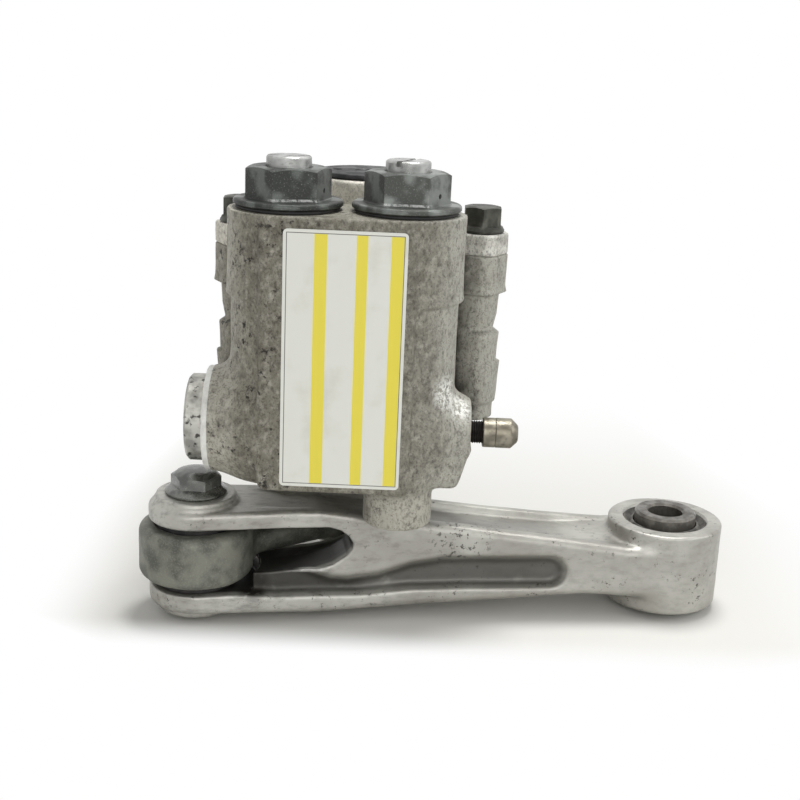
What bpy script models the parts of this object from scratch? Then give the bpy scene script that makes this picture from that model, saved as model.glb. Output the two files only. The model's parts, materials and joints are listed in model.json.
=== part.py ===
"""Rotary vane damper with damping adjusters, gas chamber, lever and link rod, standing on its link."""

import math

import bmesh
import bpy
from mathutils import Matrix

MM = 0.001

# Clearances between neighbouring pieces
SEAT_GAP = 0.1 * MM
BORE_GAP = 0.3 * MM
PART_GAP = 0.4 * MM
SHANK_GAP = 0.7 * MM
SWING_GAP = 1.2 * MM
FORK_CLEARANCE = 1.3 * MM
LINK_HUB_GAP = 2.7 * MM
HUB_CLEARANCE = 3.0 * MM

# Working values of the modelling
MERGE_DISTANCE = 0.001 * MM
OVERLAP = 1.0 * MM
FINE = 40
MEDIUM = 24
COARSE = 16
SMALL = 12

# Link rod: the fork axis is its local origin and the eye lies along local X
LINK_LENGTH = 167.5 * MM
LINK_HALF_WIDTH = 14.3 * MM
EYE_WALL = 5.1 * MM
EYE_HEIGHT = 29.4 * MM
COLLAR_STANDOFF = 2.8 * MM
COLLAR_BORE_RADIUS = 6.1 * MM
COLLAR_WALL = 4.8 * MM
EYE_BEARING_WALL = 3.6 * MM
EYE_SEAL_HEIGHT = 3.2 * MM
FORK_END_RADIUS = 16.0 * MM
FORK_ARM_BOTTOM = 6.0 * MM
FORK_LOWER_ARM_THICKNESS = 6.1 * MM
FORK_ARM_THICKNESS = 5.9 * MM
FORK_SEAT_HEIGHT = 2.6 * MM
FORK_SEAT_RADIUS = 13.6 * MM
SLOT_RELIEF = 9.3 * MM
POCKET_DEPTH = 4.5 * MM
CHANNEL_DEPTH = 2.6 * MM
CHANNEL_RIB_WIDTH = 4.7 * MM

# Fork bolt and the collar that it clamps
FORK_BOLT_RADIUS = 5.0 * MM
FORK_BOLT_FLANGE_LIP = 3.0 * MM
FORK_BOLT_FLANGE_HEIGHT = 2.4 * MM
FORK_BOLT_FLATS = 15.0 * MM
FORK_BOLT_HEAD_HEIGHT = 5.7 * MM
FORK_COLLAR_WALL = 4.9 * MM

# Lever: the rotor axis is its local origin and the eye lies along local X
LEVER_LENGTH = 67.8 * MM
LEVER_ANGLE = math.radians(218.83)
LEVER_EYE_WALL = 5.1 * MM
LEVER_EYE_HEIGHT = 19.0 * MM
LEVER_EYE_LIFT = 2.9 * MM
LEVER_EYE_HEADROOM = 1.5 * MM
LEVER_BEARING_WALL = 3.5 * MM
LEVER_SEAL_HEIGHT = 3.6 * MM
SHANK_HEIGHT = 9.4 * MM
SHANK_LIFT = 3.6 * MM
SHANK_EYE_HALF_WIDTH = 8.3 * MM
SHANK_HUB_HALF_WIDTH = 10.8 * MM
HUB_WALL = 6.2 * MM
HUB_DRAFT = 3.0 * MM

# Rotor shaft, vanes and what holds the lever on it
SHAFT_RADIUS = 11.0 * MM
SPLINE_STEP = 0.5 * MM
SHAFT_THREAD_STEP = 2.5 * MM
ROTOR_SHOULDER = 3.0 * MM
VANE_HALF_ANGLE = math.radians(18)
VANE_ANGLE = math.radians(-19)
VANE_SEAL_WIDTH = 2.6 * MM
VANE_SEAL_DEPTH = 2.4 * MM
NUT_WALL = 4.0 * MM
NUT_HEIGHT = 10.5 * MM
NUT_LIFT = 2.6 * MM
LEVER_WASHER_LIP = 2.5 * MM
LEVER_WASHER_HEIGHT = 2.2 * MM

# Vane housing, about the rotor axis
CHAMBER_RADIUS = 29.0 * MM
CHAMBER_HEIGHT = 52.0 * MM
HOUSING_WALL = 8.0 * MM
SHAFT_BOSS_WALL = 5.4 * MM
SHAFT_BOSS_DROP = 6.0 * MM
BUSH_WALL = 3.5 * MM
LOWER_BUSH_HEIGHT = 9.6 * MM
SHAFT_SEAL_WALL = 5.0 * MM
SHAFT_SEAL_HEIGHT = 3.2 * MM
SHAFT_SEAL_RECESS = 0.5 * MM
PARTITION_HALF_ANGLE = math.radians(16)
PARTITION_ANGLES = {"front": math.radians(-94), "rear": math.radians(86)}
DOWEL_RADIUS = 2.0 * MM
DOWEL_DEPTH = 6.0 * MM
DOWEL_STANDOUT = 8.0 * MM

# End cover and the four ears that carry the cover bolts
COVER_LEDGE = 2.0 * MM
COVER_SPIGOT_DEPTH = 4.5 * MM
COVER_THICKNESS = 7.0 * MM
COVER_BOSS_WALL = 4.9 * MM
COVER_RIB_WIDTH = 5.0 * MM
COVER_RIB_HEIGHT = 5.0 * MM
O_RING_THICKNESS = 2.1 * MM
UPPER_BUSH_HEIGHT = 16.5 * MM
CAP_LIP = 1.9 * MM
CAP_THICKNESS = 1.7 * MM
CAP_SPIGOT_DEPTH = 4.6 * MM
CAP_HEADROOM = 4.4 * MM
CAP_HOLE_RADIUS = 1.6 * MM
CAP_HOLE_PLACE = 10.0 * MM
FRONT_EAR_GAP = 2.1 * MM
FRONT_EAR_DIRECTION = math.radians(52.73)
REAR_EAR_X = 20.0 * MM
REAR_EAR_OUTSET = 2.0 * MM
EAR_LIP = 0.7 * MM
EAR_HEIGHT = 13.0 * MM
NECK_WALL = 2.3 * MM
NECK_HEIGHT = 22.0 * MM
LUG_HEIGHT = 22.5 * MM
WEB_WIDTH = 11.0 * MM

# Cover bolts
COVER_BOLT_RADIUS = 4.0 * MM
COVER_BOLT_FLANGE_LIP = 1.5 * MM
COVER_BOLT_FLANGE_HEIGHT = 2.3 * MM
COVER_BOLT_FLATS = 12.0 * MM
COVER_BOLT_HEAD_HEIGHT = 6.2 * MM
COVER_BOLT_INSET = 0.5 * MM

# Front block with the two adjusters
ADJUSTER_MIDDLE_X = -4.0 * MM
BLOCK_OFFSET = 8.0 * MM
BLOCK_WALL = 1.9 * MM
BLOCK_WAIST_STEP = 1.1 * MM
BLOCK_FOOT_STEP = 3.3 * MM
BLOCK_FOOT_HEIGHT = 6.5 * MM
BLOCK_DROP = 4.5 * MM
BLOCK_HEIGHT = 88.5 * MM
COLLAR_BAND_HEIGHT = 27.5 * MM
COLLAR_BAND_SLOPE = 2.0 * MM
PANEL_STANDOUT = 0.4 * MM
PANEL_REACH_LEFT = 7.0 * MM
PANEL_REACH_RIGHT = 4.0 * MM
PANEL_THICKNESS = 12.0 * MM
CORNER_STANDOUT = 1.6 * MM
CORNER_HALF_DEPTH = 13.0 * MM
CORNER_CHAMFER = 2.6 * MM
CORNER_FLARE = 2.8 * MM
LOWER_BOSS_OFFSET = (0.9 * MM, -6.5 * MM)
LOWER_BOSS_RADIUS = 11.3 * MM
LOWER_BOSS_DIP = 1.2 * MM
LOWER_BOSS_HOLE_RADIUS = 3.4 * MM
LOWER_BOSS_HOLE_DEPTH = 12.0 * MM

# Damping adjusters, each about its own vertical axis
ADJUSTER_FLANGE_RADIUS = 17.5 * MM
ADJUSTER_FLANGE_HEIGHT = 2.0 * MM
ADJUSTER_FLANGE_SPACE = 2.6 * MM
ADJUSTER_FLATS = 24.0 * MM
ADJUSTER_HEX_HEIGHT = 10.0 * MM
ADJUSTER_HEX_TURN = {"compression": math.radians(14), "rebound": math.radians(-1)}
ADJUSTER_THREAD_RADIUS = 9.5 * MM
ADJUSTER_THREAD_LENGTH = 18.0 * MM
SEAL_WASHER_HEIGHT = 1.0 * MM
SEAL_WASHER_INSET = 0.9 * MM
KNOB_RADIUS = 7.2 * MM
KNOB_HEIGHT = 7.1 * MM
KNOB_STANDOUT = 4.6 * MM
KNOB_STEM_RADIUS = 5.0 * MM
KNOB_STEM_LENGTH = 17.0 * MM
KNOB_SLOT_WIDTH = 1.7 * MM
KNOB_SLOT_DEPTH = 1.8 * MM
NEEDLE_RADIUS = 3.0 * MM
NEEDLE_GUIDE_LENGTH = 7.0 * MM
NEEDLE_TIP_RADIUS = 0.8 * MM
NEEDLE_TRAVEL = 1.0 * MM
VALVE_SEAT_HEIGHT = 6.0 * MM
VALVE_SEAT_LIFT = 12.4 * MM
SHIM_STACK_RADIUS = 7.0 * MM
SHIM_STACK_HEIGHT = 1.7 * MM
OIL_PASSAGE_RADIUS = 2.4 * MM

# Gas chamber, along X through the front block
GAS_AXIS_MARGIN = 0.6 * MM
GAS_BORE_RADIUS = 13.0 * MM
GAS_BORE_REACH = 11.2 * MM
PORT_WALL = 2.7 * MM
PORT_REACH = 25.5 * MM
PLUG_STEP = 1.7 * MM
PLUG_STANDOUT = 6.0 * MM
PLUG_HEAD_LENGTH = 11.0 * MM
PLUG_SPIGOT_LENGTH = 9.0 * MM
PISTON_LENGTH = 14.0 * MM
PISTON_WALL = 3.2 * MM
VALVE_BOSS_RADIUS = 9.7 * MM
VALVE_BOSS_REACH = 24.0 * MM
VALVE_DROP = 1.3 * MM
VALVE_STEM_RADIUS = 3.85 * MM
VALVE_STEM_LENGTH = 20.0 * MM
VALVE_STEM_STANDOUT = 11.2 * MM
VALVE_CORE_RADIUS = 0.9 * MM
VALVE_CORE_LENGTH = 13.0 * MM
VALVE_CAP_WALL = 0.85 * MM
VALVE_CAP_END_WALL = 4.0 * MM
VALVE_CAP_LENGTH = 11.7 * MM
VALVE_CAP_SKIRT = 4.5 * MM

# Label on the front panel
LABEL_WIDTH = 38.3 * MM
LABEL_THICKNESS = 0.3 * MM
LABEL_SHIFT = 0.7 * MM
LABEL_LIFT = 2.2 * MM
LABEL_HEAD_MARGIN = 3.5 * MM

# Radii that follow from the sizes above
COLLAR_RADIUS = COLLAR_BORE_RADIUS + COLLAR_WALL
EYE_BORE_RADIUS = COLLAR_RADIUS + EYE_BEARING_WALL + 2 * BORE_GAP
EYE_RADIUS = EYE_BORE_RADIUS + EYE_WALL
FORK_BOLT_FLANGE_RADIUS = FORK_BOLT_FLATS / 2 + FORK_BOLT_FLANGE_LIP
FORK_COLLAR_RADIUS = FORK_BOLT_RADIUS + BORE_GAP + FORK_COLLAR_WALL
LEVER_BORE_RADIUS = FORK_COLLAR_RADIUS + LEVER_BEARING_WALL + 2 * BORE_GAP
LEVER_EYE_RADIUS = LEVER_BORE_RADIUS + LEVER_EYE_WALL
SPLINE_RADIUS = SHAFT_RADIUS - SPLINE_STEP
SHAFT_THREAD_RADIUS = SPLINE_RADIUS - SHAFT_THREAD_STEP
HUB_RADIUS = SPLINE_RADIUS + BORE_GAP + HUB_WALL
ROTOR_HUB_RADIUS = SHAFT_RADIUS + ROTOR_SHOULDER
NUT_FLATS = 2 * (SHAFT_THREAD_RADIUS + NUT_WALL)
LEVER_WASHER_RADIUS = NUT_FLATS / 2 + LEVER_WASHER_LIP
HOUSING_RADIUS = CHAMBER_RADIUS + HOUSING_WALL
SPIGOT_RADIUS = CHAMBER_RADIUS + COVER_LEDGE
O_RING_GROOVE_RADIUS = SPIGOT_RADIUS + BORE_GAP - O_RING_THICKNESS - 2 * SEAT_GAP
BUSH_BORE_RADIUS = SHAFT_RADIUS + BUSH_WALL + 2 * BORE_GAP
SHAFT_SEAL_BORE_RADIUS = SHAFT_RADIUS + SHAFT_SEAL_WALL + 2 * BORE_GAP
SHAFT_BOSS_RADIUS = SHAFT_SEAL_BORE_RADIUS + SHAFT_BOSS_WALL
COVER_BOSS_RADIUS = BUSH_BORE_RADIUS + COVER_BOSS_WALL
CAP_RADIUS = BUSH_BORE_RADIUS + CAP_LIP
COVER_BOLT_FLANGE_RADIUS = COVER_BOLT_FLATS / 2 + COVER_BOLT_FLANGE_LIP
EAR_RADIUS = COVER_BOLT_FLANGE_RADIUS + EAR_LIP
NECK_RADIUS = COVER_BOLT_RADIUS + BORE_GAP + NECK_WALL
PLUG_RADIUS = GAS_BORE_RADIUS + PLUG_STEP
PORT_RADIUS = PLUG_RADIUS + PORT_WALL
BLOCK_RADIUS = PORT_RADIUS + BLOCK_WALL
ADJUSTER_BORE_RADIUS = ADJUSTER_THREAD_RADIUS + BORE_GAP
SEAL_WASHER_RADIUS = ADJUSTER_FLANGE_RADIUS - SEAL_WASHER_INSET
VALVE_CAP_RADIUS = VALVE_STEM_RADIUS + BORE_GAP + VALVE_CAP_WALL

# Angle between lever and link, at which the link lies beside the lever's hub
LINK_LEVER_ANGLE = math.asin((HUB_RADIUS + LINK_HALF_WIDTH + LINK_HUB_GAP) / LEVER_LENGTH)
LINK_YAW = LEVER_ANGLE - math.pi - LINK_LEVER_ANGLE
SHANK_EXIT = (
    LINK_HALF_WIDTH + SHANK_HUB_HALF_WIDTH / math.cos(LINK_LEVER_ANGLE)
) / math.tan(LINK_LEVER_ANGLE)
SLOT_DEPTH = SHANK_EXIT + SLOT_RELIEF

# Levels of the link and the lever, from the resting plane up
EYE_BOTTOM = COLLAR_STANDOFF
EYE_TOP = EYE_BOTTOM + EYE_HEIGHT
FORK_FLOOR = FORK_ARM_BOTTOM + FORK_LOWER_ARM_THICKNESS
LEVER_EYE_BOTTOM = FORK_FLOOR + LEVER_EYE_LIFT
LEVER_EYE_TOP = LEVER_EYE_BOTTOM + LEVER_EYE_HEIGHT
SHANK_BOTTOM = LEVER_EYE_BOTTOM + SHANK_LIFT
SLOT_FLOOR = SHANK_BOTTOM - SHANK_GAP
FORK_CEILING = LEVER_EYE_TOP + LEVER_EYE_HEADROOM
FORK_ARM_TOP = FORK_CEILING + FORK_ARM_THICKNESS
FORK_SEAT_TOP = FORK_ARM_TOP + FORK_SEAT_HEIGHT
FORK_FLANGE_TOP = FORK_SEAT_TOP + SEAT_GAP + FORK_BOLT_FLANGE_HEIGHT
FORK_BOLT_TOP = FORK_FLANGE_TOP + FORK_BOLT_HEAD_HEIGHT
HUB_BOTTOM = NUT_LIFT + NUT_HEIGHT + LEVER_WASHER_HEIGHT + 2 * SEAT_GAP

# Levels of the housing and the block
BLOCK_BOTTOM = FORK_BOLT_TOP + FORK_CLEARANCE
BLOCK_TOP = BLOCK_BOTTOM + BLOCK_HEIGHT
LOWER_BOSS_BOTTOM = FORK_ARM_TOP - LOWER_BOSS_DIP
HOUSING_BOTTOM = BLOCK_BOTTOM + BLOCK_DROP
SHAFT_BOSS_BOTTOM = HOUSING_BOTTOM - SHAFT_BOSS_DROP
HUB_TOP = SHAFT_BOSS_BOTTOM - HUB_CLEARANCE
SHAFT_SEALS_TOP = SHAFT_BOSS_BOTTOM + SHAFT_SEAL_RECESS + 2 * SHAFT_SEAL_HEIGHT + BORE_GAP
LOWER_BUSH_BOTTOM = SHAFT_SEALS_TOP + 2 * PART_GAP
CHAMBER_FLOOR = LOWER_BUSH_BOTTOM + LOWER_BUSH_HEIGHT + PART_GAP
CHAMBER_TOP = CHAMBER_FLOOR + CHAMBER_HEIGHT
UPPER_BUSH_BOTTOM = CHAMBER_TOP + 2 * BORE_GAP
COVER_SPLIT = CHAMBER_TOP + COVER_SPIGOT_DEPTH
COVER_TOP = COVER_SPLIT + COVER_THICKNESS
COVER_BOSS_TOP = UPPER_BUSH_BOTTOM + UPPER_BUSH_HEIGHT + CAP_HEADROOM + CAP_SPIGOT_DEPTH
O_RING_LEVEL = CHAMBER_TOP + COVER_SPIGOT_DEPTH / 2
EAR_BOTTOM = COVER_SPLIT - EAR_HEIGHT
NECK_BOTTOM = EAR_BOTTOM - NECK_HEIGHT
LUG_BOTTOM = NECK_BOTTOM - LUG_HEIGHT
COVER_BOLT_BOTTOM = LUG_BOTTOM + COVER_BOLT_INSET
GAS_AXIS_Z = BLOCK_BOTTOM + PORT_RADIUS + GAS_AXIS_MARGIN

# Levels of the adjusters
SEAL_WASHER_TOP = BLOCK_TOP + SEAT_GAP + SEAL_WASHER_HEIGHT
FLANGE_BOTTOM = SEAL_WASHER_TOP + SEAT_GAP
FLANGE_TOP = FLANGE_BOTTOM + ADJUSTER_FLANGE_HEIGHT
HEX_TOP = FLANGE_TOP + ADJUSTER_HEX_HEIGHT
KNOB_TOP = HEX_TOP + KNOB_STANDOUT
KNOB_BOTTOM = KNOB_TOP - KNOB_HEIGHT
KNOB_STEM_BOTTOM = KNOB_BOTTOM - KNOB_STEM_LENGTH
NEEDLE_TOP = KNOB_STEM_BOTTOM - NEEDLE_TRAVEL - PART_GAP
VALVE_SEAT_BOTTOM = GAS_AXIS_Z + GAS_BORE_RADIUS + VALVE_SEAT_LIFT
VALVE_SEAT_TOP = VALVE_SEAT_BOTTOM + VALVE_SEAT_HEIGHT
NEEDLE_BOTTOM = VALVE_SEAT_TOP + NEEDLE_TRAVEL + PART_GAP
OIL_PASSAGE_LEVEL = VALVE_SEAT_TOP + SHIM_STACK_HEIGHT + OIL_PASSAGE_RADIUS + OVERLAP

# Places seen from above
ADJUSTER_SPACING = 2 * ADJUSTER_FLANGE_RADIUS + ADJUSTER_FLANGE_SPACE
ADJUSTER_X = {
    "compression": ADJUSTER_MIDDLE_X - ADJUSTER_SPACING / 2,
    "rebound": ADJUSTER_MIDDLE_X + ADJUSTER_SPACING / 2,
}
ADJUSTER_Y = -HOUSING_RADIUS - BLOCK_OFFSET
PANEL_Y = ADJUSTER_Y - BLOCK_RADIUS - PANEL_STANDOUT
LOWER_BOSS_PLACE = (ADJUSTER_X["rebound"] + LOWER_BOSS_OFFSET[0], ADJUSTER_Y + LOWER_BOSS_OFFSET[1])
FRONT_EAR_REACH = BLOCK_RADIUS + FRONT_EAR_GAP + COVER_BOLT_FLANGE_RADIUS
FRONT_EAR_X = FRONT_EAR_REACH * math.cos(FRONT_EAR_DIRECTION) - ADJUSTER_X["compression"]
FRONT_EAR_Y = FRONT_EAR_REACH * math.sin(FRONT_EAR_DIRECTION) + ADJUSTER_Y
REAR_EAR_Y = HOUSING_RADIUS + REAR_EAR_OUTSET
EARS = {
    "front_left": (-FRONT_EAR_X, FRONT_EAR_Y),
    "front_right": (FRONT_EAR_X, FRONT_EAR_Y),
    "rear_left": (-REAR_EAR_X, REAR_EAR_Y),
    "rear_right": (REAR_EAR_X, REAR_EAR_Y),
}
PORT_END_X = ADJUSTER_X["compression"] - PORT_REACH
PLUG_END_X = PORT_END_X - PLUG_STANDOUT
PLUG_SHOULDER_X = PLUG_END_X + PLUG_HEAD_LENGTH
PLUG_INNER_X = PLUG_SHOULDER_X + PLUG_SPIGOT_LENGTH
GAS_BORE_END_X = ADJUSTER_X["rebound"] + GAS_BORE_REACH
PISTON_X = (PLUG_INNER_X + GAS_BORE_END_X - PISTON_LENGTH) / 2
VALVE_BOSS_END_X = ADJUSTER_X["rebound"] + VALVE_BOSS_REACH
VALVE_STEM_END_X = VALVE_BOSS_END_X + VALVE_STEM_STANDOUT
VALVE_STEM_START_X = VALVE_STEM_END_X - VALVE_STEM_LENGTH
VALVE_CAP_WALL_X = VALVE_STEM_END_X + 2 * PART_GAP
VALVE_CAP_END_X = VALVE_CAP_WALL_X + VALVE_CAP_END_WALL
VALVE_CAP_START_X = VALVE_CAP_END_X - VALVE_CAP_LENGTH



def clear_scene():
    for old in list(bpy.data.objects):
        bpy.data.objects.remove(old)


def make_material(name, colour, roughness, metallic):
    material = bpy.data.materials.new(name)
    material.use_nodes = True
    shader = material.node_tree.nodes["Principled BSDF"]
    shader.inputs["Base Color"].default_value = (*colour, 1.0)
    shader.inputs["Roughness"].default_value = roughness
    shader.inputs["Metallic"].default_value = metallic
    material.diffuse_color = (*colour, 1.0)
    return material


def make_object(name, bm):
    bmesh.ops.remove_doubles(bm, verts=bm.verts, dist=MERGE_DISTANCE)
    bmesh.ops.recalc_face_normals(bm, faces=bm.faces)
    mesh = bpy.data.meshes.new(name)
    bm.to_mesh(mesh)
    bm.free()
    solid = bpy.data.objects.new(name, mesh)
    bpy.context.scene.collection.objects.link(solid)
    return solid


def make_empty(name, parent=None, place=(0, 0, 0), turn=0.0):
    empty = bpy.data.objects.new(name, None)
    empty.location = place
    empty.rotation_euler = (0, 0, turn)
    empty.parent = parent
    bpy.context.scene.collection.objects.link(empty)
    return empty


def moved(solid, x=0.0, y=0.0, z=0.0):
    solid.data.transform(Matrix.Translation((x, y, z)))
    return solid


def turned_round(solid, angle):
    solid.data.transform(Matrix.Rotation(angle, 4, "Z"))
    return solid


def along_x(solid):
    """Lay a piece that was turned about Z along X."""
    solid.data.transform(Matrix.Rotation(math.pi / 2, 4, "Y"))
    return solid


def on_gas_axis(solid):
    return moved(along_x(solid), y=ADJUSTER_Y, z=GAS_AXIS_Z)


def turned(name, profile, segments=MEDIUM):
    """Revolve a closed outline of (radius, height) points about Z."""
    bm = bmesh.new()
    points = [bm.verts.new((radius, 0, height)) for radius, height in profile]
    edges = []
    for start, end in zip(points, points[1:] + points[:1]):
        if start.co.x > 0 or end.co.x > 0:
            edges.append(bm.edges.new((start, end)))
    bmesh.ops.spin(
        bm, geom=points + edges, cent=(0, 0, 0), axis=(0, 0, 1),
        angle=2 * math.pi, steps=segments, use_merge=True,
    )
    bmesh.ops.remove_doubles(bm, verts=bm.verts, dist=MERGE_DISTANCE)
    centres = [vert for vert in bm.verts if math.hypot(vert.co.x, vert.co.y) < MERGE_DISTANCE]
    bmesh.ops.dissolve_verts(bm, verts=centres)
    return make_object(name, bm)


def rod(name, radius, low, high, segments=MEDIUM):
    return turned(name, [(0, low), (radius, low), (radius, high), (0, high)], segments)


def ring(name, inner, outer, low, high, segments=COARSE):
    return turned(name, [(inner, low), (outer, low), (outer, high), (inner, high)], segments)


def round_ring(name, radius, thickness, height, segments=MEDIUM, sides=6):
    """Ring of round section, such as an O-ring."""
    profile = []
    for step in range(sides):
        angle = 2 * math.pi * step / sides
        across = thickness / 2 * math.cos(angle)
        along = thickness / 2 * math.sin(angle)
        profile.append((radius + across, height + along))
    return turned(name, profile, segments)


def lofted(name, sections):
    """Join outlines of equal point count, each given with its height."""
    bm = bmesh.new()
    loops = []
    for outline, height in sections:
        loops.append([bm.verts.new((x, y, height)) for x, y in outline])
    bm.faces.new(list(reversed(loops[0])))
    bm.faces.new(loops[-1])
    for lower, upper in zip(loops, loops[1:]):
        for index in range(len(lower)):
            following = (index + 1) % len(lower)
            bm.faces.new((lower[index], lower[following], upper[following], upper[index]))
    return make_object(name, bm)


def prism(name, outline, low, high):
    return lofted(name, [(outline, low), (outline, high)])


def side_prism(name, outline, front, back):
    """Extrude an outline of (x, z) points along Y."""
    solid = prism(name, outline, -back, -front)
    solid.data.transform(Matrix.Rotation(math.pi / 2, 4, "X"))
    return solid


def box(name, x_range, y_range, z_range):
    outline = [
        (x_range[0], y_range[0]),
        (x_range[1], y_range[0]),
        (x_range[1], y_range[1]),
        (x_range[0], y_range[1]),
    ]
    return prism(name, outline, *z_range)


def arc(centre, radius, start, end, steps):
    points = []
    for step in range(steps + 1):
        angle = math.radians(start + (end - start) * step / steps)
        points.append((centre[0] + radius * math.cos(angle), centre[1] + radius * math.sin(angle)))
    return points


def sector(inner, outer, middle, half_angle):
    """Outline of a ring sector about the origin."""
    low = math.degrees(middle - half_angle)
    high = math.degrees(middle + half_angle)
    return arc((0, 0), outer, low, high, 8) + arc((0, 0), inner, high, low, 8)


def stadium(radius_x, radius_y, steps=16):
    """Outline round both adjuster axes."""
    points = []
    for name, start in (("rebound", -90), ("compression", 90)):
        for step in range(steps + 1):
            angle = math.radians(start + 180 * step / steps)
            points.append((
                ADJUSTER_X[name] + radius_x * math.cos(angle),
                ADJUSTER_Y + radius_y * math.sin(angle),
            ))
    return points


def combine(base, tools, operation):
    for tool in tools:
        modifier = base.modifiers.new(operation, "BOOLEAN")
        modifier.operation = operation
        modifier.solver = "EXACT"
        modifier.object = tool
        shape = base.evaluated_get(bpy.context.evaluated_depsgraph_get())
        before = base.data
        base.data = bpy.data.meshes.new_from_object(shape)
        base.modifiers.clear()
        bpy.data.meshes.remove(before)
        bpy.data.objects.remove(tool)
    return base


def fuse(base, *tools):
    return combine(base, tools, "UNION")


def cut(base, *tools):
    return combine(base, tools, "DIFFERENCE")


def common(base, *tools):
    return combine(base, tools, "INTERSECT")


def hex_head(name, flats, low, high, turn=0.0, segments=MEDIUM):
    """Hexagonal head with the top corners turned off."""
    corner = flats / math.sqrt(3)
    edge = 0.48 * flats
    outline = arc((0, 0), corner, math.degrees(turn), math.degrees(turn) + 300, 5)
    head = prism(name, outline, low, high + OVERLAP)
    rim = 1.2 * corner
    blank = turned("blank", [
        (0, low - OVERLAP),
        (rim, low - OVERLAP),
        (rim, high - 0.6 * (rim - edge)),
        (edge, high),
        (0, high),
    ], segments)
    return common(head, blank)


def finish(solid, material, parent):
    solid.data.name = solid.name
    solid.data.materials.clear()
    solid.data.materials.append(material)
    solid.data.shade_smooth()
    solid.data.set_sharp_from_angle(angle=math.radians(32))
    solid.parent = parent
    return solid


# Main casting: front block, vane housing and bosses
def front_block():
    foot = stadium(BLOCK_RADIUS - BLOCK_FOOT_STEP, BLOCK_RADIUS - BLOCK_FOOT_STEP)
    waist = stadium(BLOCK_RADIUS, BLOCK_RADIUS - BLOCK_WAIST_STEP)
    band = stadium(BLOCK_RADIUS, BLOCK_RADIUS)
    band_low = BLOCK_TOP - COLLAR_BAND_HEIGHT
    block = lofted("main_casting", [
        (foot, BLOCK_BOTTOM),
        (waist, BLOCK_BOTTOM + BLOCK_FOOT_HEIGHT),
        (waist, band_low - COLLAR_BAND_SLOPE),
        (band, band_low),
        (band, BLOCK_TOP),
    ])
    left = ADJUSTER_X["compression"] - PANEL_REACH_LEFT
    right = ADJUSTER_X["rebound"] + PANEL_REACH_RIGHT
    panel = box(
        "panel", (left, right), (PANEL_Y, PANEL_Y + PANEL_THICKNESS),
        (BLOCK_BOTTOM + SEAT_GAP, BLOCK_TOP - SEAT_GAP),
    )
    return fuse(block, panel)


def vane_housing():
    shoulder = HOUSING_BOTTOM + 8 * MM
    shell = turned("vane_housing", [
        (0, SHAFT_BOSS_BOTTOM),
        (SHAFT_BOSS_RADIUS, SHAFT_BOSS_BOTTOM),
        (SHAFT_BOSS_RADIUS + 1 * MM, HOUSING_BOTTOM),
        (HOUSING_RADIUS - 4 * MM, HOUSING_BOTTOM + 2 * MM),
        (HOUSING_RADIUS, shoulder),
        (HOUSING_RADIUS, COVER_SPLIT),
        (0, COVER_SPLIT),
    ], FINE)
    neck = box(
        "neck",
        (ADJUSTER_X["compression"] - 0.7 * BLOCK_RADIUS, ADJUSTER_X["rebound"] + 0.7 * BLOCK_RADIUS),
        (ADJUSTER_Y, 0.5 * ADJUSTER_Y),
        (HOUSING_BOTTOM + 4 * MM, CHAMBER_TOP),
    )
    return fuse(shell, neck)


def web(name, place, low, high):
    """Wall from the rotor axis out to an ear."""
    reach = math.hypot(*place)
    wall = box(name, (CHAMBER_RADIUS, reach), (-WEB_WIDTH / 2, WEB_WIDTH / 2), (low, high))
    return turned_round(wall, math.atan2(place[1], place[0]))


def ear_column(place):
    column = turned("column", [
        (0, LUG_BOTTOM),
        (EAR_RADIUS, LUG_BOTTOM),
        (EAR_RADIUS, NECK_BOTTOM),
        (NECK_RADIUS, NECK_BOTTOM + 2 * MM),
        (NECK_RADIUS, EAR_BOTTOM - 2 * MM),
        (EAR_RADIUS, EAR_BOTTOM),
        (EAR_RADIUS, COVER_SPLIT),
        (0, COVER_SPLIT),
    ], COARSE)
    return fuse(
        moved(column, *place),
        web("web", place, LUG_BOTTOM + 1 * MM, COVER_SPLIT - SEAT_GAP),
    )


def gas_port_boss():
    return on_gas_axis(turned("port", [
        (0, PORT_END_X),
        (PORT_RADIUS - 1.2 * MM, PORT_END_X),
        (PORT_RADIUS, PORT_END_X + 1.2 * MM),
        (PORT_RADIUS, ADJUSTER_X["compression"]),
        (0, ADJUSTER_X["compression"]),
    ], FINE))


def valve_boss():
    root = ADJUSTER_X["rebound"]
    return on_gas_axis(turned("valve_boss", [
        (0, root),
        (PORT_RADIUS, root),
        (PORT_RADIUS, root + 0.72 * BLOCK_RADIUS),
        (VALVE_BOSS_RADIUS + 3 * MM, root + 0.95 * BLOCK_RADIUS),
        (VALVE_BOSS_RADIUS, VALVE_BOSS_END_X - 1.5 * MM),
        (VALVE_BOSS_RADIUS - 1.0 * MM, VALVE_BOSS_END_X),
        (0, VALVE_BOSS_END_X),
    ]))


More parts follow.
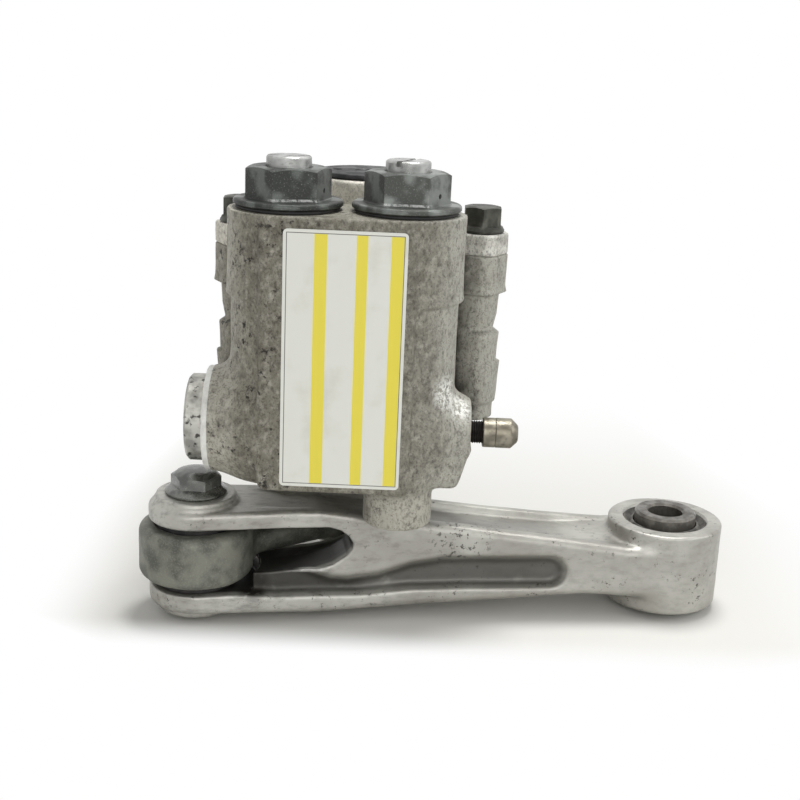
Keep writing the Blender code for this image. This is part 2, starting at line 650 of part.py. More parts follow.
def lower_corner():
    """Thickened corner of the block under the gas valve."""
    left = ADJUSTER_X["rebound"]
    low = BLOCK_BOTTOM + SEAT_GAP
    sections = [
        (low, -CORNER_CHAMFER, CORNER_CHAMFER),
        (low + CORNER_CHAMFER, 0.0, 0.0),
        (GAS_AXIS_Z - VALVE_BOSS_RADIUS / 2, CORNER_FLARE, 0.0),
        (GAS_AXIS_Z + VALVE_BOSS_RADIUS, -CORNER_CHAMFER, CORNER_CHAMFER),
    ]
    outlines = []
    for level, flare, inset in sections:
        right = left + BLOCK_RADIUS + CORNER_STANDOUT + flare
        half = CORNER_HALF_DEPTH - inset
        outline = [
            (left, ADJUSTER_Y - half),
            (right - CORNER_CHAMFER, ADJUSTER_Y - half),
            (right, ADJUSTER_Y - half + 2 * CORNER_CHAMFER),
            (right, ADJUSTER_Y + half - 2 * CORNER_CHAMFER),
            (right - CORNER_CHAMFER, ADJUSTER_Y + half),
            (left, ADJUSTER_Y + half),
        ]
        outlines.append((outline, level))
    return lofted("corner", outlines)


def lower_boss():
    boss = turned("lower_boss", [
        (0, LOWER_BOSS_BOTTOM),
        (LOWER_BOSS_RADIUS - 2.2 * MM, LOWER_BOSS_BOTTOM),
        (LOWER_BOSS_RADIUS - 0.6 * MM, LOWER_BOSS_BOTTOM + 1.6 * MM),
        (LOWER_BOSS_RADIUS, BLOCK_BOTTOM),
        (LOWER_BOSS_RADIUS, BLOCK_BOTTOM + BLOCK_FOOT_HEIGHT),
        (0, BLOCK_BOTTOM + BLOCK_FOOT_HEIGHT),
    ], COARSE)
    return moved(boss, *LOWER_BOSS_PLACE)


def casting_bores():
    """Every bore of the casting, as solids to take away."""
    top = max(BLOCK_TOP, COVER_SPLIT) + OVERLAP
    below = SHAFT_BOSS_BOTTOM - OVERLAP
    seal_top = LOWER_BUSH_BOTTOM - PART_GAP
    tools = [
        rod("recess", SPIGOT_RADIUS + BORE_GAP, CHAMBER_TOP, top, FINE),
        rod("chamber", CHAMBER_RADIUS, CHAMBER_FLOOR, CHAMBER_TOP + OVERLAP, FINE),
        rod("bush_bore", BUSH_BORE_RADIUS, below, CHAMBER_FLOOR + OVERLAP),
        rod("seal_bore", SHAFT_SEAL_BORE_RADIUS, below - OVERLAP, seal_top),
    ]
    for angle in PARTITION_ANGLES.values():
        tools.append(dowel_hole(angle))
    for place in EARS.values():
        hole = rod("bolt_hole", COVER_BOLT_RADIUS + BORE_GAP, LUG_BOTTOM - OVERLAP, top, COARSE)
        tools.append(moved(hole, *place))
    hole_end = LOWER_BOSS_BOTTOM + LOWER_BOSS_HOLE_DEPTH
    tapped = rod("tapped_hole", LOWER_BOSS_HOLE_RADIUS, LOWER_BOSS_BOTTOM - OVERLAP, hole_end, COARSE)
    tools.append(moved(tapped, *LOWER_BOSS_PLACE))
    return tools + gas_bores() + adjuster_bores()


def gas_bores():
    outside = PORT_END_X - OVERLAP
    stem_hole = VALVE_STEM_RADIUS + BORE_GAP
    valve_hole = rod("valve_hole", stem_hole, GAS_BORE_END_X - OVERLAP, VALVE_BOSS_END_X + OVERLAP, COARSE)
    return [
        on_gas_axis(rod("gas_bore", GAS_BORE_RADIUS, outside, GAS_BORE_END_X)),
        on_gas_axis(rod("gas_mouth", PLUG_RADIUS + BORE_GAP, outside, PLUG_SHOULDER_X + SEAT_GAP)),
        moved(on_gas_axis(valve_hole), z=-VALVE_DROP),
    ]


def adjuster_bores():
    """Bores of the adjusters with their oil passages into the vane chamber and the gas chamber."""
    tools = []
    floor = VALVE_SEAT_BOTTOM - PART_GAP
    for x in ADJUSTER_X.values():
        bore = rod("adjuster_bore", ADJUSTER_BORE_RADIUS, floor, BLOCK_TOP + OVERLAP)
        tools.append(moved(bore, x, ADJUSTER_Y))
        start = -math.hypot(x, ADJUSTER_Y)
        passage = along_x(rod("passage", OIL_PASSAGE_RADIUS, start, 2 * MM - CHAMBER_RADIUS, SMALL))
        turned_round(passage, math.atan2(-ADJUSTER_Y, -x))
        tools.append(moved(passage, z=OIL_PASSAGE_LEVEL))
    feed = rod("feed", OIL_PASSAGE_RADIUS, GAS_AXIS_Z, VALVE_SEAT_BOTTOM, SMALL)
    tools.append(moved(feed, ADJUSTER_X["compression"], ADJUSTER_Y))
    return tools


def build_main_casting(material, parent):
    casting = fuse(front_block(), vane_housing(), gas_port_boss(), valve_boss())
    fuse(casting, lower_corner(), lower_boss())
    for place in EARS.values():
        fuse(casting, ear_column(place))
    cut(casting, *casting_bores())
    finish(casting, material, parent)


# End cover with its ring, cap and bolts
def build_end_cover(material, parent):
    low = CHAMBER_TOP + BORE_GAP
    seat = COVER_SPLIT + SEAT_GAP
    cover = turned("end_cover", [
        (BUSH_BORE_RADIUS, low),
        (SPIGOT_RADIUS, low),
        (SPIGOT_RADIUS, O_RING_LEVEL - O_RING_THICKNESS / 2 - SEAT_GAP),
        (O_RING_GROOVE_RADIUS, O_RING_LEVEL - O_RING_THICKNESS / 2 - SEAT_GAP),
        (O_RING_GROOVE_RADIUS, O_RING_LEVEL + O_RING_THICKNESS / 2 + SEAT_GAP),
        (SPIGOT_RADIUS, O_RING_LEVEL + O_RING_THICKNESS / 2 + SEAT_GAP),
        (SPIGOT_RADIUS, COVER_TOP),
        (COVER_BOSS_RADIUS + 1.5 * MM, COVER_TOP),
        (COVER_BOSS_RADIUS, COVER_TOP + 2 * MM),
        (COVER_BOSS_RADIUS, COVER_BOSS_TOP),
        (BUSH_BORE_RADIUS, COVER_BOSS_TOP),
    ], FINE)
    fuse(cover, cover_flange(seat))
    hole_radius = COVER_BOLT_RADIUS + BORE_GAP
    for place in EARS.values():
        hole = rod("hole", hole_radius, COVER_SPLIT - OVERLAP, COVER_TOP + OVERLAP, COARSE)
        cut(cover, moved(hole, *place))
    for x in ADJUSTER_X.values():
        space = rod("space", ADJUSTER_FLANGE_RADIUS + PART_GAP, BLOCK_TOP, HEX_TOP)
        cut(cover, moved(space, x, ADJUSTER_Y))
    finish(cover, material, parent)


def cover_flange(seat):
    """Plate, ears and ribs round the cover, cut away where the front block stands."""
    flange = ring("flange", SPIGOT_RADIUS - 2 * MM, HOUSING_RADIUS, seat, COVER_TOP - 0.7 * MM, FINE)
    for place in EARS.values():
        ear = moved(rod("ear", EAR_RADIUS, seat, COVER_TOP + SEAT_GAP), *place)
        wall = web("web", place, seat + SEAT_GAP, COVER_TOP - 0.4 * MM)
        fuse(flange, ear, wall, cover_rib(place))
    clearance = BLOCK_RADIUS + 2 * PART_GAP
    return cut(flange, prism("block", stadium(clearance, clearance), seat - OVERLAP, COVER_BOSS_TOP))


def cover_rib(place):
    """Sloping rib from the centre boss to an ear."""
    reach = math.hypot(*place)
    inner = COVER_BOSS_RADIUS - OVERLAP
    outline = [
        (inner, COVER_TOP - 1.5 * OVERLAP),
        (reach - COVER_BOLT_FLANGE_RADIUS - OVERLAP, COVER_TOP - 1.5 * OVERLAP),
        (inner, COVER_TOP + COVER_RIB_HEIGHT),
    ]
    rib = side_prism("rib", outline, -COVER_RIB_WIDTH / 2, COVER_RIB_WIDTH / 2)
    return turned_round(rib, math.atan2(place[1], place[0]))


def build_cover_ring(material, parent):
    middle = O_RING_GROOVE_RADIUS + SEAT_GAP + O_RING_THICKNESS / 2
    finish(round_ring("cover_o_ring", middle, O_RING_THICKNESS, O_RING_LEVEL, FINE), material, parent)


def build_bearing_cap(material, parent):
    seat = COVER_BOSS_TOP + BORE_GAP
    top = seat + CAP_THICKNESS
    spigot = BUSH_BORE_RADIUS - BORE_GAP
    cap = turned("bearing_cap", [
        (0, seat - CAP_SPIGOT_DEPTH),
        (spigot, seat - CAP_SPIGOT_DEPTH),
        (spigot, seat),
        (CAP_RADIUS, seat),
        (CAP_RADIUS, top - 0.5 * MM),
        (CAP_RADIUS - 0.5 * MM, top),
        (0, top),
    ])
    for side in (-1, 1):
        hole = rod("hole", CAP_HOLE_RADIUS, top - CAP_THICKNESS, top + OVERLAP, SMALL)
        cut(cap, moved(hole, side * CAP_HOLE_PLACE))
    finish(cap, material, parent)


def build_cover_bolts(material, parent):
    seat = COVER_TOP + 2 * SEAT_GAP
    head_low = seat + COVER_BOLT_FLANGE_HEIGHT
    for name, place in EARS.items():
        bolt = turned(f"cover_bolt_{name}", [
            (0, COVER_BOLT_BOTTOM),
            (COVER_BOLT_RADIUS - 0.8 * MM, COVER_BOLT_BOTTOM),
            (COVER_BOLT_RADIUS, COVER_BOLT_BOTTOM + 0.8 * MM),
            (COVER_BOLT_RADIUS, seat),
            (COVER_BOLT_FLANGE_RADIUS, seat),
            (COVER_BOLT_FLANGE_RADIUS, seat + 0.9 * MM),
            (COVER_BOLT_FLATS / 2, head_low),
            (0, head_low),
        ], COARSE)
        head_top = head_low + COVER_BOLT_HEAD_HEIGHT
        fuse(bolt, hex_head("head", COVER_BOLT_FLATS, head_low - OVERLAP, head_top, math.pi / 6, SMALL))
        bolt.location = (*place, 0)
        finish(bolt, material, parent)


# Bearings and seals of the rotor shaft
def build_shaft_bushes(material, parent):
    inner = SHAFT_RADIUS + BORE_GAP
    outer = inner + BUSH_WALL
    upper = ring("upper_bush", inner, outer, UPPER_BUSH_BOTTOM, UPPER_BUSH_BOTTOM + UPPER_BUSH_HEIGHT)
    lower = ring("lower_bush", inner, outer, LOWER_BUSH_BOTTOM, LOWER_BUSH_BOTTOM + LOWER_BUSH_HEIGHT)
    finish(upper, material, parent)
    finish(lower, material, parent)


def build_shaft_seals(material, parent):
    inner = SHAFT_RADIUS + BORE_GAP
    outer = inner + SHAFT_SEAL_WALL
    top = SHAFT_SEALS_TOP
    for name in ("shaft_oil_seal", "shaft_dust_seal"):
        finish(ring(name, inner, outer, top - SHAFT_SEAL_HEIGHT, top), material, parent)
        top -= SHAFT_SEAL_HEIGHT + BORE_GAP


# Partition blocks of the vane chamber and their dowels
def dowel_place(angle):
    middle = (ROTOR_HUB_RADIUS + CHAMBER_RADIUS) / 2
    return middle * math.cos(angle), middle * math.sin(angle)


def dowel_hole(angle):
    hole = rod(
        "dowel_hole", DOWEL_RADIUS + BORE_GAP, CHAMBER_FLOOR - DOWEL_DEPTH - PART_GAP,
        CHAMBER_FLOOR + DOWEL_STANDOUT + PART_GAP, SMALL,
    )
    return moved(hole, *dowel_place(angle))


def build_partitions(material, dowel_material, parent):
    inner = ROTOR_HUB_RADIUS + PART_GAP
    outer = CHAMBER_RADIUS - BORE_GAP
    dowel_low = CHAMBER_FLOOR - DOWEL_DEPTH
    dowel_high = CHAMBER_FLOOR + DOWEL_STANDOUT
    for name, angle in PARTITION_ANGLES.items():
        outline = sector(inner, outer, angle, PARTITION_HALF_ANGLE)
        block = prism(f"partition_{name}", outline, CHAMBER_FLOOR + BORE_GAP, CHAMBER_TOP - SEAT_GAP)
        cut(block, dowel_hole(angle))
        finish(block, material, parent)
        dowel = rod(f"partition_dowel_{name}", DOWEL_RADIUS, dowel_low, dowel_high, SMALL)
        dowel.location = (*dowel_place(angle), 0)
        finish(dowel, dowel_material, parent)


# Rotor shaft with its vanes and vane seals, in the lever's local frame
def build_rotor(material, seal_material, parent):
    low = CHAMBER_FLOOR + PART_GAP
    high = CHAMBER_TOP - PART_GAP
    tip = CHAMBER_RADIUS - 0.5 * MM
    rotor = turned("rotor_shaft", [
        (0, 0),
        (SHAFT_THREAD_RADIUS - 0.8 * MM, 0),
        (SHAFT_THREAD_RADIUS, 0.8 * MM),
        (SHAFT_THREAD_RADIUS, HUB_BOTTOM),
        (SPLINE_RADIUS, HUB_BOTTOM),
        (SPLINE_RADIUS, HUB_TOP),
        (SHAFT_RADIUS, HUB_TOP + 0.5 * MM),
        (SHAFT_RADIUS, low),
        (ROTOR_HUB_RADIUS, low),
        (ROTOR_HUB_RADIUS, high),
        (SHAFT_RADIUS, high),
        (SHAFT_RADIUS, CHAMBER_TOP + UPPER_BUSH_HEIGHT),
        (0, CHAMBER_TOP + UPPER_BUSH_HEIGHT),
    ])
    for name, middle in (("vane_seal_a", VANE_ANGLE), ("vane_seal_b", VANE_ANGLE + math.pi)):
        outline = sector(ROTOR_HUB_RADIUS - 2 * MM, tip, middle, VANE_HALF_ANGLE)
        fuse(rotor, prism("vane", outline, low + SEAT_GAP, high - SEAT_GAP))
        half = VANE_SEAL_WIDTH / 2
        groove = box(
            "groove", (tip - VANE_SEAL_DEPTH, CHAMBER_RADIUS), (-half - SEAT_GAP, half + SEAT_GAP),
            (low - OVERLAP, high + OVERLAP),
        )
        cut(rotor, turned_round(groove, middle))
        strip = box(
            name, (tip - VANE_SEAL_DEPTH + SEAT_GAP, CHAMBER_RADIUS - BORE_GAP), (-half, half),
            (low + BORE_GAP, high - BORE_GAP),
        )
        finish(turned_round(strip, middle), seal_material, parent)
    finish(rotor, material, parent)


def build_lever_fixing(material, parent):
    bore = SHAFT_THREAD_RADIUS + BORE_GAP
    nut_top = NUT_LIFT + NUT_HEIGHT
    washer_low = nut_top + SEAT_GAP
    washer = ring("lever_washer", bore, LEVER_WASHER_RADIUS, washer_low, washer_low + LEVER_WASHER_HEIGHT)
    finish(washer, material, parent)
    nut = hex_head("lever_nut", NUT_FLATS, NUT_LIFT, nut_top)
    cut(nut, rod("bore", bore, NUT_LIFT - OVERLAP, nut_top + OVERLAP))
    finish(nut, material, parent)


# Lever with the bearing and seals of its eye
def build_lever(material, parent):
    hub = turned("lever_arm", [
        (SPLINE_RADIUS + BORE_GAP, HUB_BOTTOM),
        (HUB_RADIUS - 1.5 * MM, HUB_BOTTOM),
        (HUB_RADIUS, HUB_BOTTOM + 1.5 * MM),
        (HUB_RADIUS, 0.4 * HUB_BOTTOM + 0.6 * HUB_TOP),
        (HUB_RADIUS - HUB_DRAFT, HUB_TOP),
        (SPLINE_RADIUS + BORE_GAP, HUB_TOP),
    ])
    inner = SPLINE_RADIUS + 3 * MM
    outline = [
        (inner, -SHANK_HUB_HALF_WIDTH),
        (LEVER_LENGTH, -SHANK_EYE_HALF_WIDTH),
        (LEVER_LENGTH, SHANK_EYE_HALF_WIDTH),
        (inner, SHANK_HUB_HALF_WIDTH),
    ]
    fuse(hub, prism("shank", outline, SHANK_BOTTOM, SHANK_BOTTOM + SHANK_HEIGHT))
    eye = turned("eye", [
        (0, LEVER_EYE_BOTTOM),
        (LEVER_EYE_RADIUS - 2.6 * MM, LEVER_EYE_BOTTOM),
        (LEVER_EYE_RADIUS - 0.5 * MM, LEVER_EYE_BOTTOM + 2.2 * MM),
        (LEVER_EYE_RADIUS, LEVER_EYE_BOTTOM + LEVER_EYE_HEIGHT / 2),
        (LEVER_EYE_RADIUS - 0.5 * MM, LEVER_EYE_TOP - 2.2 * MM),
        (LEVER_EYE_RADIUS - 2.6 * MM, LEVER_EYE_TOP),
        (0, LEVER_EYE_TOP),
    ])
    fuse(hub, moved(eye, LEVER_LENGTH))
    bore = rod("bore", LEVER_BORE_RADIUS, LEVER_EYE_BOTTOM - OVERLAP, LEVER_EYE_TOP + OVERLAP)
    cut(hub, moved(bore, LEVER_LENGTH))
    finish(hub, material, parent)


def build_lever_eye_pieces(bearing_material, seal_material, parent):
    inner = FORK_COLLAR_RADIUS + BORE_GAP
    outer = LEVER_BORE_RADIUS - BORE_GAP
    low = LEVER_EYE_BOTTOM + LEVER_SEAL_HEIGHT
    high = LEVER_EYE_TOP - LEVER_SEAL_HEIGHT
    bearing = ring("lever_bearing", inner, outer, low + BORE_GAP, high - BORE_GAP)
    lower = ring("lever_seal_lower", inner, outer, FORK_FLOOR + PART_GAP, low)
    upper = ring("lever_seal_upper", inner, outer, high, FORK_CEILING - PART_GAP)
    for piece, material in ((bearing, bearing_material), (lower, seal_material), (upper, seal_material)):
        piece.location = (LEVER_LENGTH, 0, 0)
        finish(piece, material, parent)


# Link rod, in its local frame
def link_side_outline():
    """Height of the link along its length, without the bosses and the eye."""
    eye = LINK_LENGTH
    top = [
        (eye, EYE_TOP - 5.5 * MM),
        (eye - 19 * MM, EYE_TOP - 5.0 * MM),
        (eye - 33 * MM, EYE_TOP - 3.2 * MM),
        (eye - 61 * MM, FORK_ARM_TOP - 8.9 * MM),
        (SLOT_DEPTH + 28 * MM, FORK_ARM_TOP - 5.7 * MM),
        (SLOT_DEPTH + 11 * MM, FORK_ARM_TOP - 3.2 * MM),
        (SLOT_DEPTH, FORK_ARM_TOP - 1.9 * MM),
        (SLOT_DEPTH - 14 * MM, FORK_ARM_TOP),
        (-FORK_END_RADIUS - OVERLAP, FORK_ARM_TOP),
    ]
    bottom = [
        (-FORK_END_RADIUS - OVERLAP, FORK_ARM_BOTTOM),
        (0.7 * SLOT_DEPTH, FORK_ARM_BOTTOM - 1.2 * MM),
        (eye - 61 * MM, FORK_ARM_BOTTOM + 1.5 * MM),
        (eye - 33 * MM, FORK_ARM_BOTTOM + 3.5 * MM),
        (eye - 19 * MM, FORK_ARM_BOTTOM + 2.8 * MM),
        (eye, FORK_ARM_BOTTOM + 2.8 * MM),
    ]
    return top + bottom


def link_plan_outline():
    eye = LINK_LENGTH
    half = LINK_HALF_WIDTH
    far_side = [
        (eye, half + 2.2 * MM),
        (eye - 16 * MM, half + 1.2 * MM),
        (eye - 24 * MM, half),
        (0.55 * SLOT_DEPTH, half - 0.3 * MM),
    ]
    near_side = [(x, -y) for x, y in reversed(far_side)]
    return far_side + arc((0, 0), FORK_END_RADIUS, 80, 280, 20) + near_side


def slot_outline():
    """Gap between the fork arms, with a higher floor past the lever eye."""
    radius = (FORK_CEILING - SLOT_FLOOR) / 2
    end = SLOT_DEPTH - radius
    floor_start = LEVER_EYE_RADIUS + SWING_GAP
    opening = -FORK_END_RADIUS - 2 * OVERLAP
    step = [
        (opening, FORK_FLOOR),
        (floor_start, FORK_FLOOR),
        (floor_start + 3 * MM, FORK_FLOOR + 1.5 * MM),
        (floor_start + 6 * MM, SLOT_FLOOR),
    ]
    return step + arc((end, FORK_CEILING - radius), radius, -90, 90, 12) + [(opening, FORK_CEILING)]


def pocket_outline():
    """Forged pocket in the side of the beam, running into the lower fork arm."""
    end = LINK_LENGTH - 45.3 * MM
    low = FORK_ARM_BOTTOM + 6.5 * MM
    radius = 6.1 * MM
    band = LEVER_EYE_RADIUS + SWING_GAP
    lower_edge = [
        (band, low - 1.6 * MM),
        (SLOT_DEPTH, low - 1.4 * MM),
        (SLOT_DEPTH + 18 * MM, low),
    ]
    upper_edge = [
        (SLOT_DEPTH + 29 * MM, low + 2 * radius),
        (SLOT_DEPTH + 17 * MM, low + 1.65 * radius),
        (SLOT_DEPTH + 6 * MM, low + 0.9 * radius),
        (SLOT_DEPTH - 5 * MM, low + 0.68 * radius),
        (band + 7 * MM, low + 0.62 * radius),
        (band, low),
    ]
    return lower_edge + arc((end, low + radius), radius, -90, 90, 10) + upper_edge


def channel_outline():
    """Shallow trough along the top of the beam."""
    start = SLOT_DEPTH + 17 * MM
    end = LINK_LENGTH - 27 * MM
    return [
        (start, FORK_ARM_TOP - 3.8 * MM),
        (start + 9 * MM, FORK_ARM_TOP - 5.0 * MM - CHANNEL_DEPTH),
        (LINK_LENGTH - 61 * MM, FORK_ARM_TOP - 8.9 * MM - CHANNEL_DEPTH),
        (end - 7 * MM, EYE_TOP - 3.2 * MM - CHANNEL_DEPTH),
        (end, EYE_TOP - 3.0 * MM),
        (end, FORK_ARM_TOP + OVERLAP),
        (start, FORK_ARM_TOP + OVERLAP),
    ]


def build_link(material, parent):
    link = side_prism("link_rod", link_side_outline(), -2 * EYE_RADIUS, 2 * EYE_RADIUS)
    common(link, prism("plan", link_plan_outline(), 0, 2 * FORK_ARM_TOP))
    half = LINK_HALF_WIDTH
    for inner, outer in ((half - POCKET_DEPTH, 2 * half), (-2 * half, POCKET_DEPTH - half)):
        cut(link, side_prism("pocket", pocket_outline(), inner, outer))
    channel_half = half - CHANNEL_RIB_WIDTH
    cut(link, side_prism("channel", channel_outline(), -channel_half, channel_half))
    seat = turned("seat", [
        (0, FORK_ARM_TOP - OVERLAP),
        (FORK_SEAT_RADIUS + 1.3 * MM, FORK_ARM_TOP - OVERLAP),
        (FORK_SEAT_RADIUS + 1.3 * MM, FORK_ARM_TOP + 0.4 * FORK_SEAT_HEIGHT),
        (FORK_SEAT_RADIUS, FORK_ARM_TOP + 0.5 * FORK_SEAT_HEIGHT),
        (FORK_SEAT_RADIUS, FORK_SEAT_TOP),
        (0, FORK_SEAT_TOP),
    ])
    foot = turned("foot", [
        (0, EYE_BOTTOM),
        (FORK_SEAT_RADIUS - 2 * MM, EYE_BOTTOM),
        (FORK_SEAT_RADIUS, FORK_ARM_BOTTOM),
        (FORK_SEAT_RADIUS, FORK_ARM_BOTTOM + OVERLAP),
        (0, FORK_ARM_BOTTOM + OVERLAP),
    ])
    eye = turned("eye", [
        (0, EYE_BOTTOM),
        (EYE_RADIUS - 1.2 * MM, EYE_BOTTOM),
        (EYE_RADIUS, EYE_BOTTOM + 1.2 * MM),
        (EYE_RADIUS, EYE_TOP - 1.2 * MM),
        (EYE_RADIUS - 1.2 * MM, EYE_TOP),
        (0, EYE_TOP),
    ], FINE)
    fuse(link, seat, foot, moved(eye, LINK_LENGTH))
    below = EYE_BOTTOM - OVERLAP
    cut(
        link,
        side_prism("slot", slot_outline(), -2 * half, 2 * half),
        rod("bolt_hole", FORK_BOLT_RADIUS + BORE_GAP, below, FORK_SEAT_TOP + OVERLAP, COARSE),
        moved(rod("eye_bore", EYE_BORE_RADIUS, below, EYE_TOP + OVERLAP), LINK_LENGTH),
    )
    finish(link, material, parent)


def build_fork_bolt(material, collar_material, parent):
    seat = FORK_SEAT_TOP + SEAT_GAP
    bolt = turned("fork_bolt", [
        (0, 0),
        (FORK_BOLT_RADIUS - 0.8 * MM, 0),
        (FORK_BOLT_RADIUS, 0.8 * MM),
        (FORK_BOLT_RADIUS, seat),
        (FORK_BOLT_FLANGE_RADIUS, seat),
        (FORK_BOLT_FLANGE_RADIUS, seat + 0.9 * MM),
        (FORK_BOLT_FLATS / 2, FORK_FLANGE_TOP),
        (0, FORK_FLANGE_TOP),
    ])
    fuse(bolt, hex_head("head", FORK_BOLT_FLATS, FORK_FLANGE_TOP - OVERLAP, FORK_BOLT_TOP))
    finish(bolt, material, parent)
    collar = ring(
        "fork_collar", FORK_BOLT_RADIUS + BORE_GAP, FORK_COLLAR_RADIUS,
        FORK_FLOOR + SEAT_GAP, FORK_CEILING - SEAT_GAP,
    )
    finish(collar, collar_material, parent)


def build_eye_pieces(bearing_material, seal_material, parent):
    inner = COLLAR_RADIUS + BORE_GAP
    outer = EYE_BORE_RADIUS - BORE_GAP
    low = EYE_BOTTOM + PART_GAP
    high = EYE_TOP - PART_GAP
    lower = ring("eye_seal_lower", inner, outer, low, low + EYE_SEAL_HEIGHT)
    upper = ring("eye_seal_upper", inner, outer, high - EYE_SEAL_HEIGHT, high)
    bearing = ring(
        "eye_bearing", inner, outer, low + EYE_SEAL_HEIGHT + BORE_GAP, high - EYE_SEAL_HEIGHT - BORE_GAP,
    )
    for piece, material in ((bearing, bearing_material), (lower, seal_material), (upper, seal_material)):
        piece.location = (LINK_LENGTH, 0, 0)
        finish(piece, material, parent)


def build_eye_collar(material, parent):
    top = EYE_TOP + COLLAR_STANDOFF
    collar = turned("eye_collar", [
        (COLLAR_BORE_RADIUS, 0),
        (COLLAR_RADIUS - 0.8 * MM, 0),
        (COLLAR_RADIUS, 0.8 * MM),
        (COLLAR_RADIUS, top - 0.8 * MM),
        (COLLAR_RADIUS - 0.8 * MM, top),
        (COLLAR_BORE_RADIUS, top),
    ])
    finish(collar, material, parent)


# Damping adjusters
def build_adjuster(name, body_material, washer_material, inner_material, parent):
    bore = KNOB_STEM_RADIUS + BORE_GAP
    thread_low = FLANGE_BOTTOM - ADJUSTER_THREAD_LENGTH
    body = turned(f"{name}_adjuster_body", [
        (0, thread_low),
        (ADJUSTER_THREAD_RADIUS, thread_low),
        (ADJUSTER_THREAD_RADIUS, FLANGE_BOTTOM),
        (ADJUSTER_FLANGE_RADIUS, FLANGE_BOTTOM),
        (ADJUSTER_FLANGE_RADIUS, FLANGE_TOP - 0.5 * MM),
        (ADJUSTER_FLANGE_RADIUS - 0.6 * MM, FLANGE_TOP),
        (0, FLANGE_TOP),
    ])
    fuse(body, hex_head("hex", ADJUSTER_FLATS, FLANGE_TOP - OVERLAP, HEX_TOP, ADJUSTER_HEX_TURN[name]))
    cut(
        body,
        rod("bore", bore, thread_low - OVERLAP, HEX_TOP + OVERLAP),
        rod("knob_seat", KNOB_RADIUS + BORE_GAP, KNOB_BOTTOM - SEAT_GAP, HEX_TOP + OVERLAP),
    )
    finish(body, body_material, parent)
    washer = ring(
        f"{name}_seal_washer", ADJUSTER_BORE_RADIUS, SEAL_WASHER_RADIUS,
        BLOCK_TOP + SEAT_GAP, SEAL_WASHER_TOP,
    )
    finish(washer, washer_material, parent)
    seat = ring(
        f"{name}_valve_seat", NEEDLE_RADIUS - 1 * MM, ADJUSTER_THREAD_RADIUS,
        VALVE_SEAT_BOTTOM, VALVE_SEAT_TOP,
    )
    finish(seat, inner_material, parent)
    shims_low = VALVE_SEAT_TOP + SEAT_GAP
    shims = ring(
        f"{name}_shim_stack", NEEDLE_RADIUS + BORE_GAP, SHIM_STACK_RADIUS,
        shims_low, shims_low + SHIM_STACK_HEIGHT,
    )
    finish(shims, inner_material, parent)


def build_adjuster_screw(name, material, needle_material, parent):
    knob = turned(f"{name}_adjuster_screw", [
        (0, KNOB_STEM_BOTTOM),
        (KNOB_STEM_RADIUS, KNOB_STEM_BOTTOM),
        (KNOB_STEM_RADIUS, KNOB_BOTTOM),
        (KNOB_RADIUS, KNOB_BOTTOM),
        (KNOB_RADIUS, KNOB_TOP - 0.5 * MM),
        (KNOB_RADIUS - 0.5 * MM, KNOB_TOP),
        (0, KNOB_TOP),
    ])
    half = KNOB_SLOT_WIDTH / 2
    slot = box(
        "slot", (-2 * KNOB_RADIUS, 2 * KNOB_RADIUS), (-half, half),
        (KNOB_TOP - KNOB_SLOT_DEPTH, KNOB_TOP + OVERLAP),
    )
    cut(knob, slot)
    finish(knob, material, parent)
    needle = turned(f"{name}_needle", [
        (0, NEEDLE_BOTTOM),
        (NEEDLE_TIP_RADIUS, NEEDLE_BOTTOM),
        (NEEDLE_RADIUS, NEEDLE_BOTTOM + 5 * MM),
        (NEEDLE_RADIUS, NEEDLE_TOP - NEEDLE_GUIDE_LENGTH),
        (KNOB_STEM_RADIUS, NEEDLE_TOP - NEEDLE_GUIDE_LENGTH),
        (KNOB_STEM_RADIUS, NEEDLE_TOP),
        (0, NEEDLE_TOP),
    ], COARSE)
    finish(needle, needle_material, parent)


# Gas chamber: plug, free piston and filling valve, in the frame of the gas axis
def build_gas_plug(material, ring_material, parent):
    groove = GAS_BORE_RADIUS - O_RING_THICKNESS
    ring_x = (PLUG_SHOULDER_X + PLUG_INNER_X) / 2
    half = O_RING_THICKNESS / 2 + SEAT_GAP
    spigot = GAS_BORE_RADIUS - BORE_GAP
    plug = turned("gas_plug", [
        (0, PLUG_END_X),
        (PLUG_RADIUS - 0.8 * MM, PLUG_END_X),
        (PLUG_RADIUS, PLUG_END_X + 0.8 * MM),
        (PLUG_RADIUS, PLUG_SHOULDER_X),
        (spigot, PLUG_SHOULDER_X),
        (spigot, ring_x - half),
        (groove - BORE_GAP, ring_x - half),
        (groove - BORE_GAP, ring_x + half),
        (spigot, ring_x + half),
        (spigot, PLUG_INNER_X),
        (0, PLUG_INNER_X),
    ])
    finish(along_x(plug), material, parent)
    ring_radius = GAS_BORE_RADIUS - (BORE_GAP + O_RING_THICKNESS) / 2
    seal = round_ring("gas_plug_o_ring", ring_radius, O_RING_THICKNESS, ring_x)
    finish(along_x(seal), ring_material, parent)


def build_free_piston(material, ring_material, parent):
    groove = GAS_BORE_RADIUS - O_RING_THICKNESS
    half = O_RING_THICKNESS / 2 + SEAT_GAP
    skirt = GAS_BORE_RADIUS - BORE_GAP
    middle = PISTON_LENGTH / 2
    piston = turned("free_piston", [
        (0, 0),
        (skirt, 0),
        (skirt, middle - half),
        (groove - BORE_GAP, middle - half),
        (groove - BORE_GAP, middle + half),
        (skirt, middle + half),
        (skirt, PISTON_LENGTH),
        (groove - PISTON_WALL, PISTON_LENGTH),
        (groove - PISTON_WALL, PISTON_WALL),
        (0, PISTON_WALL),
    ])
    finish(along_x(piston), material, parent)
    ring_radius = GAS_BORE_RADIUS - (BORE_GAP + O_RING_THICKNESS) / 2
    seal = round_ring("free_piston_o_ring", ring_radius, O_RING_THICKNESS, middle)
    finish(along_x(seal), ring_material, parent)


